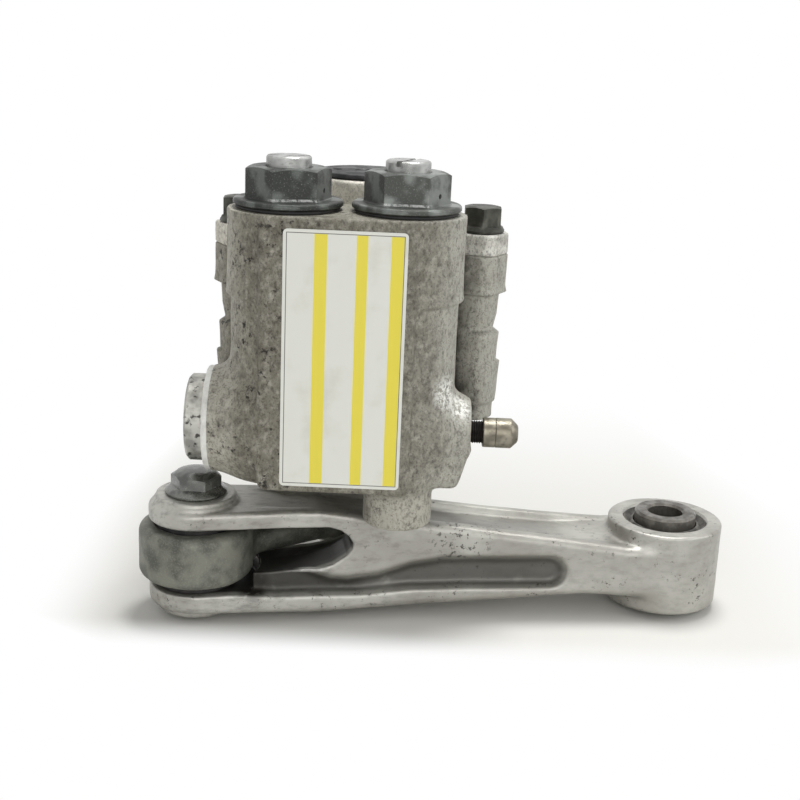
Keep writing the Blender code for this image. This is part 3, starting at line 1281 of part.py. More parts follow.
def build_gas_valve(material, core_material, cap_material, stem_parent, core_parent, cap_parent):
    bore = VALVE_CORE_RADIUS + PART_GAP
    stem = turned("gas_valve_stem", [
        (bore, VALVE_STEM_START_X),
        (VALVE_STEM_RADIUS, VALVE_STEM_START_X),
        (VALVE_STEM_RADIUS, VALVE_STEM_END_X - 0.6 * MM),
        (VALVE_STEM_RADIUS - 0.6 * MM, VALVE_STEM_END_X),
        (bore, VALVE_STEM_END_X),
    ], COARSE)
    finish(along_x(stem), material, stem_parent)
    core_end = VALVE_STEM_END_X - PART_GAP
    core = rod("gas_valve_core", VALVE_CORE_RADIUS, core_end - VALVE_CORE_LENGTH, core_end, SMALL)
    finish(along_x(core), core_material, core_parent)
    inner = VALVE_STEM_RADIUS + BORE_GAP
    cap = turned("gas_valve_cap", [
        (inner, VALVE_CAP_START_X),
        (VALVE_CAP_RADIUS, VALVE_CAP_START_X),
        (VALVE_CAP_RADIUS, VALVE_CAP_START_X + VALVE_CAP_SKIRT),
        (VALVE_CAP_RADIUS - 0.3 * MM, VALVE_CAP_START_X + VALVE_CAP_SKIRT + 0.3 * MM),
        (VALVE_CAP_RADIUS - 0.3 * MM, VALVE_CAP_END_X - 2.6 * MM),
        (VALVE_CAP_RADIUS - 2.2 * MM, VALVE_CAP_END_X),
        (0, VALVE_CAP_END_X),
        (0, VALVE_CAP_WALL_X),
        (inner, VALVE_CAP_WALL_X),
    ], COARSE)
    finish(along_x(cap), cap_material, cap_parent)


# Label
def build_label(material, parent):
    back = PANEL_Y - SEAT_GAP
    left = ADJUSTER_MIDDLE_X + LABEL_SHIFT - LABEL_WIDTH / 2
    label = box(
        "blank_label", (left, left + LABEL_WIDTH), (back - LABEL_THICKNESS, back),
        (BLOCK_BOTTOM + LABEL_LIFT, BLOCK_TOP - LABEL_HEAD_MARGIN),
    )
    finish(label, material, parent)


# Whole damper
def build_damper():
    casting = make_material("cast_aluminium", (0.42, 0.41, 0.38), 0.6, 0.9)
    forged = make_material("forged_aluminium", (0.52, 0.52, 0.50), 0.45, 0.9)
    lever_steel = make_material("lever_steel", (0.13, 0.135, 0.13), 0.55, 0.8)
    dark_steel = make_material("dark_steel", (0.05, 0.05, 0.045), 0.5, 0.8)
    hex_finish = make_material("dark_anodised", (0.12, 0.13, 0.125), 0.45, 0.8)
    plated = make_material("plated_steel", (0.55, 0.54, 0.50), 0.35, 1.0)
    bright = make_material("bright_steel", (0.72, 0.72, 0.70), 0.28, 1.0)
    valve_finish = make_material("valve_nickel", (0.34, 0.33, 0.29), 0.4, 1.0)
    bronze = make_material("bearing_bronze", (0.45, 0.33, 0.18), 0.4, 1.0)
    rubber = make_material("black_rubber", (0.02, 0.02, 0.02), 0.8, 0.0)
    paper = make_material("label_film", (0.82, 0.82, 0.76), 0.5, 0.0)

    root = make_empty("damper_root")
    build_main_casting(casting, root)
    build_end_cover(casting, root)
    build_cover_ring(rubber, root)
    build_bearing_cap(dark_steel, root)
    build_cover_bolts(dark_steel, root)
    build_shaft_bushes(bronze, root)
    build_shaft_seals(rubber, root)
    build_partitions(forged, bright, root)
    build_label(paper, root)

    rotor_axis = make_empty("rotor_axis", root, turn=LEVER_ANGLE)
    build_rotor(bright, bronze, rotor_axis)
    build_lever_fixing(plated, rotor_axis)
    build_lever(lever_steel, rotor_axis)
    build_lever_eye_pieces(bright, rubber, rotor_axis)

    link_axis = make_empty("link_axis", rotor_axis, (LEVER_LENGTH, 0, 0), LINK_YAW - LEVER_ANGLE)
    build_link(forged, link_axis)
    build_fork_bolt(plated, bright, link_axis)
    build_eye_pieces(bright, rubber, link_axis)
    build_eye_collar(dark_steel, make_empty("eye_axis", link_axis, (LINK_LENGTH, 0, 0)))

    for name, x in ADJUSTER_X.items():
        axis = make_empty(f"{name}_axis", root, (x, ADJUSTER_Y, 0))
        build_adjuster(name, hex_finish, rubber, bright, axis)
        build_adjuster_screw(name, bright, bronze, axis)

    gas_axis = make_empty("gas_axis", root, (0, ADJUSTER_Y, GAS_AXIS_Z))
    build_gas_plug(plated, rubber, gas_axis)
    build_free_piston(forged, rubber, make_empty("piston_place", gas_axis, (PISTON_X, 0, 0)))
    valve_axis = make_empty("valve_axis", gas_axis, (0, 0, -VALVE_DROP))
    core_axis = make_empty("valve_core_axis", valve_axis)
    cap_axis = make_empty("valve_cap_axis", valve_axis)
    build_gas_valve(dark_steel, valve_finish, valve_finish, valve_axis, core_axis, cap_axis)


clear_scene()
build_damper()
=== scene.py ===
"""Looks of the rotary damper: cast, forged and turned pieces with worn finishes on a pale studio floor."""

import json
import math

import bpy
import numpy as np
from mathutils import Matrix, Vector


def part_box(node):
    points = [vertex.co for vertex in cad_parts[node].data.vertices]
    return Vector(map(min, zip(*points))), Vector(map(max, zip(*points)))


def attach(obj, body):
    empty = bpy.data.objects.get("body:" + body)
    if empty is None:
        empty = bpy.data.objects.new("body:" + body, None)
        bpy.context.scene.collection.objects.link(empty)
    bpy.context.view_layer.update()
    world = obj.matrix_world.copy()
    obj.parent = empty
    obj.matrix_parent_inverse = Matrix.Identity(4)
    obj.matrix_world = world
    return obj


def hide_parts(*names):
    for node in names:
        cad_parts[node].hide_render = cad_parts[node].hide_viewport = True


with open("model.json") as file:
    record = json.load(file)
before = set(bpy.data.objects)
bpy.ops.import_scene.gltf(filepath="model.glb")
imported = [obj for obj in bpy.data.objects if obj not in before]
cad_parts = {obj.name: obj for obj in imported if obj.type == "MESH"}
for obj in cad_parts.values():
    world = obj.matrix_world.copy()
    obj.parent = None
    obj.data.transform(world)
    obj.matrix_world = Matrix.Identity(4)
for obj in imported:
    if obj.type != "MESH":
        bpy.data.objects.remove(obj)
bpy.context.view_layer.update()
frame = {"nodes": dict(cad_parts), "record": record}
MM = 0.001


# Places and levels of the frame, in millimetres
def ends(node):
    low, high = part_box(node)
    return np.array(low) / MM, np.array(high) / MM


def heights(node):
    low, high = ends(node)
    return low[2], high[2]


def middle(node):
    low, high = ends(node)
    return (low + high) / 2


FORK = middle("fork_collar")
EYE = middle("eye_collar")
LEFT = middle("compression_adjuster_body")
RIGHT = middle("rebound_adjuster_body")
GAS = middle("free_piston")
VALVE = middle("gas_valve_stem")
COVER_BOLTS = [f"cover_bolt_{side}" for side in ("front_left", "front_right", "rear_left", "rear_right")]
EARS = [middle(node) for node in COVER_BOLTS]
BLOCK_CENTRE = (LEFT[0] + RIGHT[0]) / 2
BLOCK_HALF = (RIGHT[0] - LEFT[0]) / 2
LINK_YAW = math.atan2(EYE[1] - FORK[1], EYE[0] - FORK[0])
LINK_LENGTH = math.hypot(EYE[0] - FORK[0], EYE[1] - FORK[1])
LEVER_ANGLE = math.atan2(FORK[1], FORK[0])
LEVER_LENGTH = math.hypot(FORK[0], FORK[1])


# Distance fields in millimetres, negative inside
def soft_min(a, b, reach):
    """Smaller of two distances, rounded where they meet."""
    share = np.clip(0.5 + 0.5 * (b - a) / reach, 0, 1)
    return b + (a - b) * share - reach * share * (1 - share)


def soft_max(a, b, reach):
    return -soft_min(-a, -b, reach)


def joined(reach, *fields):
    total = fields[0]
    for field in fields[1:]:
        total = soft_min(total, field, reach)
    return total


def both(a, b, radius):
    """Room inside two fields, with a round edge of that radius between them."""
    a = a + radius
    b = b + radius
    return np.minimum(np.maximum(a, b), 0) + np.hypot(np.maximum(a, 0), np.maximum(b, 0)) - radius


def slab(value, low, high):
    return np.maximum(low - value, value - high)


def disc(x, y, place, radius):
    return np.hypot(x - place[0], y - place[1]) - radius


def pad(u, v, half_u, half_v, corner):
    return both(np.abs(u) - half_u, np.abs(v) - half_v, corner)


def ramp(value, low, high):
    share = np.clip((value - low) / (high - low), 0, 1)
    return share * share * (3 - 2 * share)


def outline(u, v, points):
    """Signed distance to a closed outline, negative inside."""
    nearest = np.inf
    inside = False
    for (au, av), (bu, bv) in zip(points, points[1:] + points[:1]):
        du, dv = bu - au, bv - av
        share = np.clip(((u - au) * du + (v - av) * dv) / (du * du + dv * dv), 0, 1)
        nearest = np.minimum(nearest, (u - au - share * du) ** 2 + (v - av - share * dv) ** 2)
        crossed = ((av <= v) != (bv <= v)) & (u < au + du * (v - av) / (dv or 1))
        inside = inside ^ crossed
    return np.where(inside, -1, 1) * np.sqrt(nearest)


def waves(x, y, z, size):
    """Slow unevenness of a cast skin, between -1 and 1."""
    return np.sin(x / size + 1.3 * np.sin(z / size)) * np.sin(y / size + 0.7) * np.cos(z / size + 0.4)


# Meshes from fields
EDGE_REACH = 1.5
STEPS = np.eye(3, dtype=int)
SHARP_EDGE = math.radians(32)


def slope(field, points, step=0.05):
    parts = []
    for axis in STEPS * step:
        parts.append((field(*(points + axis).T) - field(*(points - axis).T)) / (2 * step))
    return np.stack(parts, 1)


def settled(field, points, reach):
    """Points moved onto the zero surface of the field."""
    for _ in range(2):
        towards = slope(field, points)
        steep = np.maximum((towards ** 2).sum(1), 0.2)
        move = np.clip(field(*points.T) / steep, -reach, reach)
        points = points - towards * move[:, None]
    return points


def crossing_points(value, base):
    """Mean of the places where the field changes sign on each cell's edges, in cells."""
    total = np.zeros((len(base), 3))
    count = np.zeros((len(base), 1))
    for start in np.ndindex(2, 2, 2):
        for axis in range(3):
            if start[axis]:
                continue
            along = STEPS[axis]
            first = value[tuple((base + start).T)]
            second = value[tuple((base + start + along).T)]
            crossed = (first < 0) != (second < 0)
            share = np.where(crossed, first / np.where(crossed, first - second, 1), 0)
            total += np.where(crossed[:, None], np.array(start) + share[:, None] * along, 0)
            count += crossed[:, None]
    return total / count


def cell_faces(inside, index):
    """One face across each grid edge that passes through the surface."""
    faces = []
    for axis in range(3):
        u, v = (a for a in range(3) if a != axis)
        lower = np.moveaxis(inside, axis, 0)[:-1]
        upper = np.moveaxis(inside, axis, 0)[1:]
        edge = np.moveaxis(lower != upper, 0, axis)
        places = np.argwhere(edge)
        leaving = inside[tuple(places.T)]
        corners = (places - STEPS[u] - STEPS[v], places - STEPS[v], places, places - STEPS[u])
        ring = np.stack([index[tuple(corner.T)] for corner in corners], 1)
        backwards = leaving if axis == 1 else ~leaving
        ring[backwards] = ring[backwards][:, ::-1]
        faces.append(ring)
    return np.concatenate(faces)


def skinned(name, field, low, high, cell):
    """Closed mesh on the zero surface of a field, with one point in each cell that it crosses."""
    axes = [np.arange(a - 2 * cell, b + 3 * cell, cell) for a, b in zip(low, high)]
    grid = np.meshgrid(*axes, indexing="ij", sparse=True)
    value = np.broadcast_to(field(*grid), [len(a) for a in axes]).astype(np.float32)
    inside = value < 0
    cells = [n - 1 for n in value.shape]
    filled = np.zeros(cells, np.int8)
    for i, j, k in np.ndindex(2, 2, 2):
        filled += inside[i:cells[0] + i, j:cells[1] + j, k:cells[2] + k]
    active = (filled > 0) & (filled < 8)
    base = np.argwhere(active)
    index = np.zeros(cells, np.int32)
    index[active] = np.arange(len(base))
    start = np.array([a[0] for a in axes])
    points = start + (base + crossing_points(value, base)) * cell
    points = settled(field, points, 0.5 * cell)
    return piece_from(name, points, cell_faces(inside, index).tolist())


def piece_from(name, points, faces):
    mesh = bpy.data.meshes.new(name)
    mesh.from_pydata((np.asarray(points) * MM).tolist(), [], faces)
    mesh.shade_smooth()
    piece = bpy.data.objects.new(name, mesh)
    bpy.context.scene.collection.objects.link(piece)
    return piece


def prism(name, lower, upper):
    """Straight piece between two outlines with the same number of points."""
    count = len(lower)
    faces = [list(range(count))[::-1], list(range(count, 2 * count))]
    for i in range(count):
        j = (i + 1) % count
        faces.append([i, j, count + j, count + i])
    return piece_from(name, lower + upper, faces)


def cut_out(piece, *tools):
    """Takes the tools' room out of a piece, with sharp edges."""
    for tool in tools:
        change = piece.modifiers.new("cut", "BOOLEAN")
        change.solver = "MANIFOLD"
        change.object = tool
    graph = bpy.context.evaluated_depsgraph_get()
    mesh = bpy.data.meshes.new_from_object(piece.evaluated_get(graph))
    piece.modifiers.clear()
    piece.data = mesh
    for tool in tools:
        bpy.data.objects.remove(tool)
    return piece


def sharpened(piece):
    piece.data.set_sharp_from_angle(angle=SHARP_EDGE)
    return piece


def drilled(piece, *tools):
    """Cuts a turned piece and marks its sharp edges again."""
    return sharpened(cut_out(piece, *tools))


def point_values(mesh, kind):
    values = np.empty(3 * len(mesh.vertices), np.float32)
    mesh.vertices.foreach_get(kind, values)
    return values.reshape(-1, 3)


def measure_hollows_and_edges(piece, field, reach, blank=None):
    """Stores how deep each point lies in a hollow, or in the uncut blank, and how near it is to an edge."""
    mesh = piece.data
    points = point_values(mesh, "co") / MM
    normals = point_values(mesh, "normal")
    hollow = -blank(*points.T) / reach if blank else 1 - field(*(points + reach * normals).T) / reach
    edge = 1 + field(*(points - EDGE_REACH * normals).T) / EDGE_REACH
    for name, value in (("hollow", hollow), ("edge", edge)):
        store = mesh.attributes.new(name, "FLOAT", "POINT")
        store.data.foreach_set("value", np.clip(value, 0, 1).astype(np.float32))
    return piece


# Turned pieces
HEX_FIT = 0.994


def around(count):
    """Angles of a full turn."""
    return np.linspace(0, 2 * math.pi, count, endpoint=False)


def spun(name, rings, count=96, hollow=False):
    """Piece of rings about local Z. A ring's radius and height are single values or one per angle."""
    angle = around(count)
    points = []
    for radius, height in rings:
        radius = np.broadcast_to(radius, count)
        height = np.broadcast_to(height, count)
        points.append(np.stack([radius * np.cos(angle), radius * np.sin(angle), height], 1))
    faces = []
    pairs = list(zip(range(len(rings)), range(1, len(rings))))
    if hollow:
        pairs.append((len(rings) - 1, 0))
    else:
        faces.append(list(range(count))[::-1])
        faces.append([(len(rings) - 1) * count + i for i in range(count)])
    for a, b in pairs:
        for i in range(count):
            j = (i + 1) % count
            faces.append([a * count + i, a * count + j, b * count + j, b * count + i])
    return sharpened(piece_from(name + "_look", np.concatenate(points), faces))


def placed(piece, place, turn=0.0):
    """Sets a piece's own axis at a place of the frame."""
    piece.matrix_world = Matrix.Translation(Vector(place) * MM) @ Matrix.Rotation(turn, 4, "Z")
    return piece


def on_axis(piece, centre, turn=0.0):
    """Sets a piece that is made at its true height on an upright axis."""
    return placed(piece, (centre[0], centre[1], 0), turn)


def along_x(piece, axis):
    """Lays a turned piece along X, on an axis of the frame."""
    spot = Matrix.Translation((0, axis[1] * MM, axis[2] * MM))
    piece.matrix_world = spot @ Matrix.Rotation(math.pi / 2, 4, "Y")
    return piece


def bore(radius, low, high, place=(0, 0), count=64):
    """Upright cylinder to cut with."""
    return on_axis(spun("bore", [(radius, low), (radius, high)], count), place)


def bore_x(radius, start, end, axis):
    """Cylinder along X to cut with."""
    return along_x(spun("bore", [(radius, start), (radius, end)], 64), axis)


def raised(base, *pairs):
    """Rings given by their radius and their height over a base."""
    return [(radius, base + rise) for radius, rise in pairs]


def hexagon(flats, count=96):
    """Radius at each angle of a hexagon a little under its nominal size, with a corner at angle 0."""
    angle = around(count)
    return HEX_FIT * (flats / 2 / np.cos((angle % (math.pi / 3)) - math.pi / 6))


def hex_rings(flats, low, high, count=96):
    """Rings of a hexagonal head whose top corners are turned off by a cone."""
    side = hexagon(flats, count)
    rim = 0.49 * flats
    drop = 0.45 * (side - rim)
    return [(side, low), (side, high - drop), (rim, high - 0.1), (rim - 0.3, high)]


def threaded_rings(radius, depth, pitch, low, high, count=96):
    """Rings of a screw thread that winds up from low to high."""
    angle = around(count)
    rings = []
    for height in np.arange(low, high, pitch / 8):
        turn = (height / pitch - angle / (2 * math.pi)) % 1
        fade = min(1, (height - low) / pitch, (high - height) / pitch)
        rings.append((radius - fade * depth * np.abs(2 * turn - 1), height))
    return rings


# Main casting
BLOCK_LOW = 53.5
LOWER_BOSS_LOW, BLOCK_TOP = heights("main_casting")
BLOCK_RADIUS = 19.3
BAND_LOW = 114.5
RECESS_DEPTH = 1.3
RECESS_CORNER = 2.0
PANEL_FRONT = ends("main_casting")[0][1]
PANEL_LEFT = -29.8
PANEL_RIGHT = 18.8
PORT_END = -48.3
PORT_RADIUS = 17.4
MACHINED_BAND = 2.0
VALVE_BOSS_END = 38.8
VALVE_BOSS_RADIUS = 9.7
LOWER_BOSS = (15.7, -51.5)
LOWER_BOSS_RADIUS = 11.3
HOUSING_LOW = 58.0
HOUSING_RADIUS = 37.0
SHAFT_BOSS_LOW = 52.0
SHAFT_BOSS_RADIUS = 22.0
CHAMBER_LOW = 70.0
CHAMBER_TOP = 122.0
CHAMBER_RADIUS = 29.0
COVER_SPLIT = 126.5
EAR_HALF = 8.0
EAR_LOW = 113.5
LUG_LOW = 74.6
FOOT_TOP = 89.6
WAIST = 101.0
COLUMN_LOW = heights(COVER_BOLTS[0])[0] - 0.4
WEB_HALF = 5.5
BOLT_HOLE = 4.3
SHAFT_BORE = 15.1
OIL_SEAL_SEAT = 16.6
ADJUSTER_BORE = 9.8
ADJUSTER_BORE_LOW = 96.5
TAPPED_HOLE = 3.4
GAS_BORE = 13.0
GAS_END = 26.0
PLUG_BORE = 15.0
PLUG_SEAT = -43.2
VALVE_BORE = 4.15


def lobe_distance(x, y):
    """Distance from the line between the two adjusters, seen from above."""
    return np.hypot(np.maximum(np.abs(x - BLOCK_CENTRE) - BLOCK_HALF, 0), y - LEFT[1])


def front_block(x, y, z):
    """Two lobes about the adjusters with a recess low on each side, and the flat panel between them."""
    beyond = np.maximum(PANEL_LEFT - x, x - PANEL_RIGHT)
    recess = soft_min(beyond, BAND_LOW - z, 2 * RECESS_CORNER)
    lip = 0.3 * np.exp(-((recess + 0.9) / 0.6) ** 2)
    lobes = lobe_distance(x, y) - (BLOCK_RADIUS - RECESS_DEPTH * ramp(recess, -0.5, 0.5) + lip)
    lobes = both(lobes + 0.12 * waves(x, y, z, 4.1), BLOCK_LOW - z, 5.0)
    wide = (PANEL_RIGHT - PANEL_LEFT) / 2
    tall = (BLOCK_TOP - BLOCK_LOW) / 2
    panel = pad(x - PANEL_LEFT - wide, z - BLOCK_LOW - tall - 2, wide, tall + 2, 3.0)
    panel = both(panel, slab(y, PANEL_FRONT, PANEL_FRONT + 12), 0.8)
    return soft_min(lobes, panel, 1.4)


def gas_port(x, y, z):
    band_end = PORT_END + MACHINED_BAND
    flare = np.interp(x, (band_end, band_end + 0.3, -30.0), (0.0, 0.25, 1.6))
    return both(disc(y, z, GAS[1:], PORT_RADIUS + flare), slab(x, PORT_END, LEFT[0]), 0.5)


def valve_boss(x, y, z):
    root = RIGHT[0] + 0.72 * BLOCK_RADIUS
    along = (root, root + 4.4, VALVE_BOSS_END)
    taper = np.interp(x, along, (PORT_RADIUS, VALVE_BOSS_RADIUS + 3, VALVE_BOSS_RADIUS))
    return both(0.85 * disc(y, z, GAS[1:], taper), slab(x, RIGHT[0], VALVE_BOSS_END), 1.0)


def valve_corner(x, y, z):
    """Thick corner of the block under the gas valve."""
    right = RIGHT[0] + BLOCK_RADIUS + 1.5
    wide = (right - RIGHT[0]) / 2
    flare = np.interp(z, (BLOCK_LOW + 2, VALVE[2] - 4, VALVE[2] + 8), (0.0, 3.0, -3.0))
    plan = pad(x - RIGHT[0] - wide - flare / 2, y - LEFT[1], wide + flare / 2, 12.8, 3.2)
    return both(plan, slab(z, BLOCK_LOW + 0.2, VALVE[2] + 7), 2.4)


def ear_axes(x, y, place):
    """Distances out from the rotor axis through a cover bolt, and to the side of that line."""
    reach = math.hypot(place[0], place[1])
    return (x * place[0] + y * place[1]) / reach, (y * place[0] - x * place[1]) / reach, reach


def ear_plan(x, y, place, half):
    """Boxy column about a cover bolt, square to the line from the rotor axis, and its web."""
    out, side, reach = ear_axes(x, y, place)
    column = pad(out - reach, side, half, half, 4.6)
    web = np.maximum(np.abs(side) - WEB_HALF, slab(out, 0.75 * CHAMBER_RADIUS, reach))
    return column, web


def ear_column(x, y, z, place):
    """Cast column with a stepped waist under the ear and a turned foot."""
    foot = ((LUG_LOW, 6.4), (LUG_LOW + 0.3, 7.0), (FOOT_TOP - 0.4, 7.6), (FOOT_TOP, 6.6))
    waist = ((WAIST - 1.8, 7.0), (WAIST, 5.3), (WAIST + 5, 6.2), (EAR_LOW - 0.6, 6.4))
    ear = ((EAR_LOW, 8.3), (EAR_LOW + 2, 8.0), (COVER_SPLIT, EAR_HALF))
    levels, sizes = zip(*foot, *waist, *ear)
    column, web = ear_plan(x, y, place, np.interp(z, levels, sizes))
    column = both(0.9 * column, COLUMN_LOW - z, 0.6)
    web = both(web, LUG_LOW + 2 - z, 2.0)
    return soft_min(column, web, 2.0)


def vane_housing(x, y, z):
    shell = both(disc(x, y, (0, 0), HOUSING_RADIUS), HOUSING_LOW - z, 4.0)
    boss = both(disc(x, y, (0, 0), SHAFT_BOSS_RADIUS), SHAFT_BOSS_LOW - z, 1.2)
    neck = pad(x - BLOCK_CENTRE, y - 0.75 * LEFT[1], 32, 12, 3)
    neck = both(neck, slab(z, HOUSING_LOW + 4, CHAMBER_TOP), 3.0)
    return joined(3.0, shell, boss, neck)


def casting_field(x, y, z):
    block = front_block(x, y, z)
    front = soft_min(block, gas_port(x, y, z), 6.0)
    lower_boss = disc(x, y, LOWER_BOSS, LOWER_BOSS_RADIUS)
    lower_boss = both(lower_boss, slab(z, LOWER_BOSS_LOW, BLOCK_LOW + 8), 1.6)
    front = joined(2.5, front, valve_boss(x, y, z), valve_corner(x, y, z), lower_boss)
    rear = vane_housing(x, y, z)
    for place in EARS:
        rear = soft_min(rear, ear_column(x, y, z, place), 3.0)
    whole = soft_min(front, rear + 0.1 * waves(x, y, z, 3.7), 5.0)
    above_split = np.minimum(z - COVER_SPLIT, block)
    whole = np.maximum(whole, PANEL_FRONT - y)
    return np.maximum(whole, np.maximum(above_split, z - BLOCK_TOP))


def build_main_casting(node):
    low, high = ends(node)
    casting = skinned("casting", casting_field, low - 1, high + 1, 0.8)
    cut_out(
        casting,
        bore(CHAMBER_RADIUS + 2.3, CHAMBER_TOP, BLOCK_TOP + 5, count=96),
        bore(CHAMBER_RADIUS, CHAMBER_LOW, CHAMBER_TOP + 1, count=96),
        bore(SHAFT_BORE, SHAFT_BOSS_LOW - 2, CHAMBER_LOW + 1),
        bore(OIL_SEAL_SEAT, SHAFT_BOSS_LOW - 2, SHAFT_BOSS_LOW + 7.6),
        *[bore(ADJUSTER_BORE, ADJUSTER_BORE_LOW, BLOCK_TOP + 5, place) for place in (LEFT, RIGHT)],
        bore(TAPPED_HOLE, LOWER_BOSS_LOW - 2, LOWER_BOSS_LOW + 12, LOWER_BOSS),
        bore_x(GAS_BORE, PORT_END - 2, GAS_END, GAS),
        bore_x(PLUG_BORE, PORT_END - 2, PLUG_SEAT, GAS),
        bore_x(VALVE_BORE, GAS_END - 1, VALVE_BOSS_END + 2, VALVE),
        *[bore(BOLT_HOLE, COLUMN_LOW - 5, BLOCK_TOP, place, 32) for place in EARS],
    )
    return measure_hollows_and_edges(casting, casting_field, 5.0)


# End cover
COVER_LOW, COVER_BOSS_TOP = heights("end_cover")
COVER_TOP = 133.5
COVER_BOSS_RADIUS = 20.0


def cover_ear(x, y, z, place):
    column, web = ear_plan(x, y, place, EAR_HALF)
    column = both(column, z - COVER_TOP - 0.1, 0.6)
    web = both(web, z - COVER_TOP + 0.4, 1.5)
    out, side, reach = ear_axes(x, y, place)
    crest = np.interp(out, (COVER_BOSS_RADIUS, reach - 8.5), (COVER_TOP + 5, COVER_TOP - 1))
    rib = both(both(np.abs(side) - 2.4, 0.8 * (z - crest), 1.2), slab(out, 0, reach - 8.5), 1.0)
    return joined(1.8, column, web, rib)


def cover_field(x, y, z):
    flange = both(disc(x, y, (0, 0), HOUSING_RADIUS), z - COVER_TOP + 0.7, 1.0)
    boss = both(disc(x, y, (0, 0), COVER_BOSS_RADIUS), z - COVER_BOSS_TOP, 0.8)
    whole = soft_min(flange, boss, 3.5)
    for place in EARS:
        whole = soft_min(whole, cover_ear(x, y, z, place), 2.5)
    whole = whole + 0.08 * waves(x, y, z, 3.5)
    block = lobe_distance(x, y) - BLOCK_RADIUS - 0.8
    whole = np.maximum(whole, np.maximum(-block, COVER_SPLIT + 0.1 - z))
    spigot = np.maximum(disc(x, y, (0, 0), CHAMBER_RADIUS + 2), slab(z, COVER_LOW, COVER_TOP))
    return np.maximum(np.minimum(whole, spigot), z - COVER_BOSS_TOP)


def build_end_cover(node):
    low, high = ends(node)
    cover = skinned("cover", cover_field, low - 1, high + 1, 0.8)
    cut_out(
        cover,
        bore(SHAFT_BORE, COVER_LOW - 2, COVER_BOSS_TOP + 2),
        *[bore(BOLT_HOLE, COVER_SPLIT - 2, COVER_TOP + 4, place, 32) for place in EARS],
    )
    return measure_hollows_and_edges(cover, cover_field, 5.0)


# Link rod, along its own X from the fork to the eye
FORK_ARM_LOW = 6.0
FORK_FLOOR = 12.1
SLOT_FLOOR = 17.9
FORK_CEILING = 35.5
FORK_ARM_TOP = 41.4
LINK_LOW, FORK_SEAT_TOP = heights("link_rod")
FORK_END_RADIUS = 16.0
SLOT_DEPTH = 55.5
LEVER_ROOM = 21.4
EYE_TOP = 32.2
EYE_RADIUS = 20.2
EYE_BORE = 15.1
FORK_BORE = 5.3
LINK_HALF = 14.3
POCKET_DEPTH = 4.5
RIM_WIDTH = 5.4


def link_top(x):
    along = (-20, SLOT_DEPTH - 14, SLOT_DEPTH, SLOT_DEPTH + 11, SLOT_DEPTH + 28)
    height = (0, 0, -1.9, -3.2, -5.7)
    end = (LINK_LENGTH - 61, LINK_LENGTH - 33, LINK_LENGTH - 19, LINK_LENGTH)
    end_height = (FORK_ARM_TOP - 8.9, EYE_TOP - 3.2, EYE_TOP - 5.0, EYE_TOP - 5.5)
    return np.interp(x, along + end, tuple(FORK_ARM_TOP + h for h in height) + end_height)


def link_bottom(x):
    along = (-20, 0.7 * SLOT_DEPTH, LINK_LENGTH - 61, LINK_LENGTH - 33, LINK_LENGTH - 19)
    return FORK_ARM_LOW + np.interp(x, along, (-0.2, -1.9, 1.3, 3.5, 2.8))


def link_slot(x, y, z):
    """Gap between the fork arms: a round room for the lever's eye and a slot that is deeper at the back."""
    room = np.maximum(np.hypot(x, y) - LEVER_ROOM, slab(z, FORK_FLOOR, FORK_CEILING))
    floor = ((0, 0.0), (25, 0.2), (33, 0.8), (40, 2.1))
    nose = ((46, 4.2), (50.6, 7.3), (52.5, 9.7), (52.8, 11.6))
    ceiling = ((51.3, 3.4), (48.5, 1.2), (44.5, 0.0), (0, 0.0))
    points = [(along, SLOT_FLOOR + rise) for along, rise in floor + nose]
    points += [(along, FORK_CEILING - drop) for along, drop in ceiling]
    deeper = np.interp(y, (2, 11), (0.0, 6.9))
    return np.minimum(room, outline(x - deeper, z, points))


def link_pocket(x, z):
    """Forged pocket in the side of the beam, running into the lower fork arm."""
    low = FORK_ARM_LOW + 6.0
    radius = 6.4
    end = LINK_LENGTH - 45.3
    bow = np.linspace(-math.pi / 2, math.pi / 2, 9)
    rise = ((29, 2.0), (17, 1.7), (6, 1.15), (-4, 0.95), (-10, 1.05), (-16, 1.4), (-22, 1.8))
    points = [(0, FORK_FLOOR), (11, FORK_FLOOR), (27, low - 1.6)]
    points += [(SLOT_DEPTH, low - 1.6), (SLOT_DEPTH + 18, low)]
    points += [(end + radius * math.cos(a), low + radius + radius * math.sin(a)) for a in bow]
    points += [(SLOT_DEPTH + along, low + share * radius) for along, share in rise]
    return outline(x, z, points + [(0, low + 1.8 * radius)])


def link_half(x):
    along = (2.8, 30.5, LINK_LENGTH - 75, LINK_LENGTH - 45, LINK_LENGTH - 24, LINK_LENGTH - 14)
    return np.interp(x, along, (15.8, 14.0, LINK_HALF, 15.4, 17.0, 18.4))


def link_beam(x, y, z):
    """Beam before its pockets, channel and slot are formed."""
    side = np.maximum(np.abs(y) - link_half(x), x - LINK_LENGTH)
    plan = np.where(x < 2.8, np.hypot(x, y) - FORK_END_RADIUS, side)
    edge = np.interp(x, (SLOT_DEPTH - 10, SLOT_DEPTH + 15), (2.0, 3.0))
    return both(plan, slab(z, link_bottom(x), link_top(x)), edge)


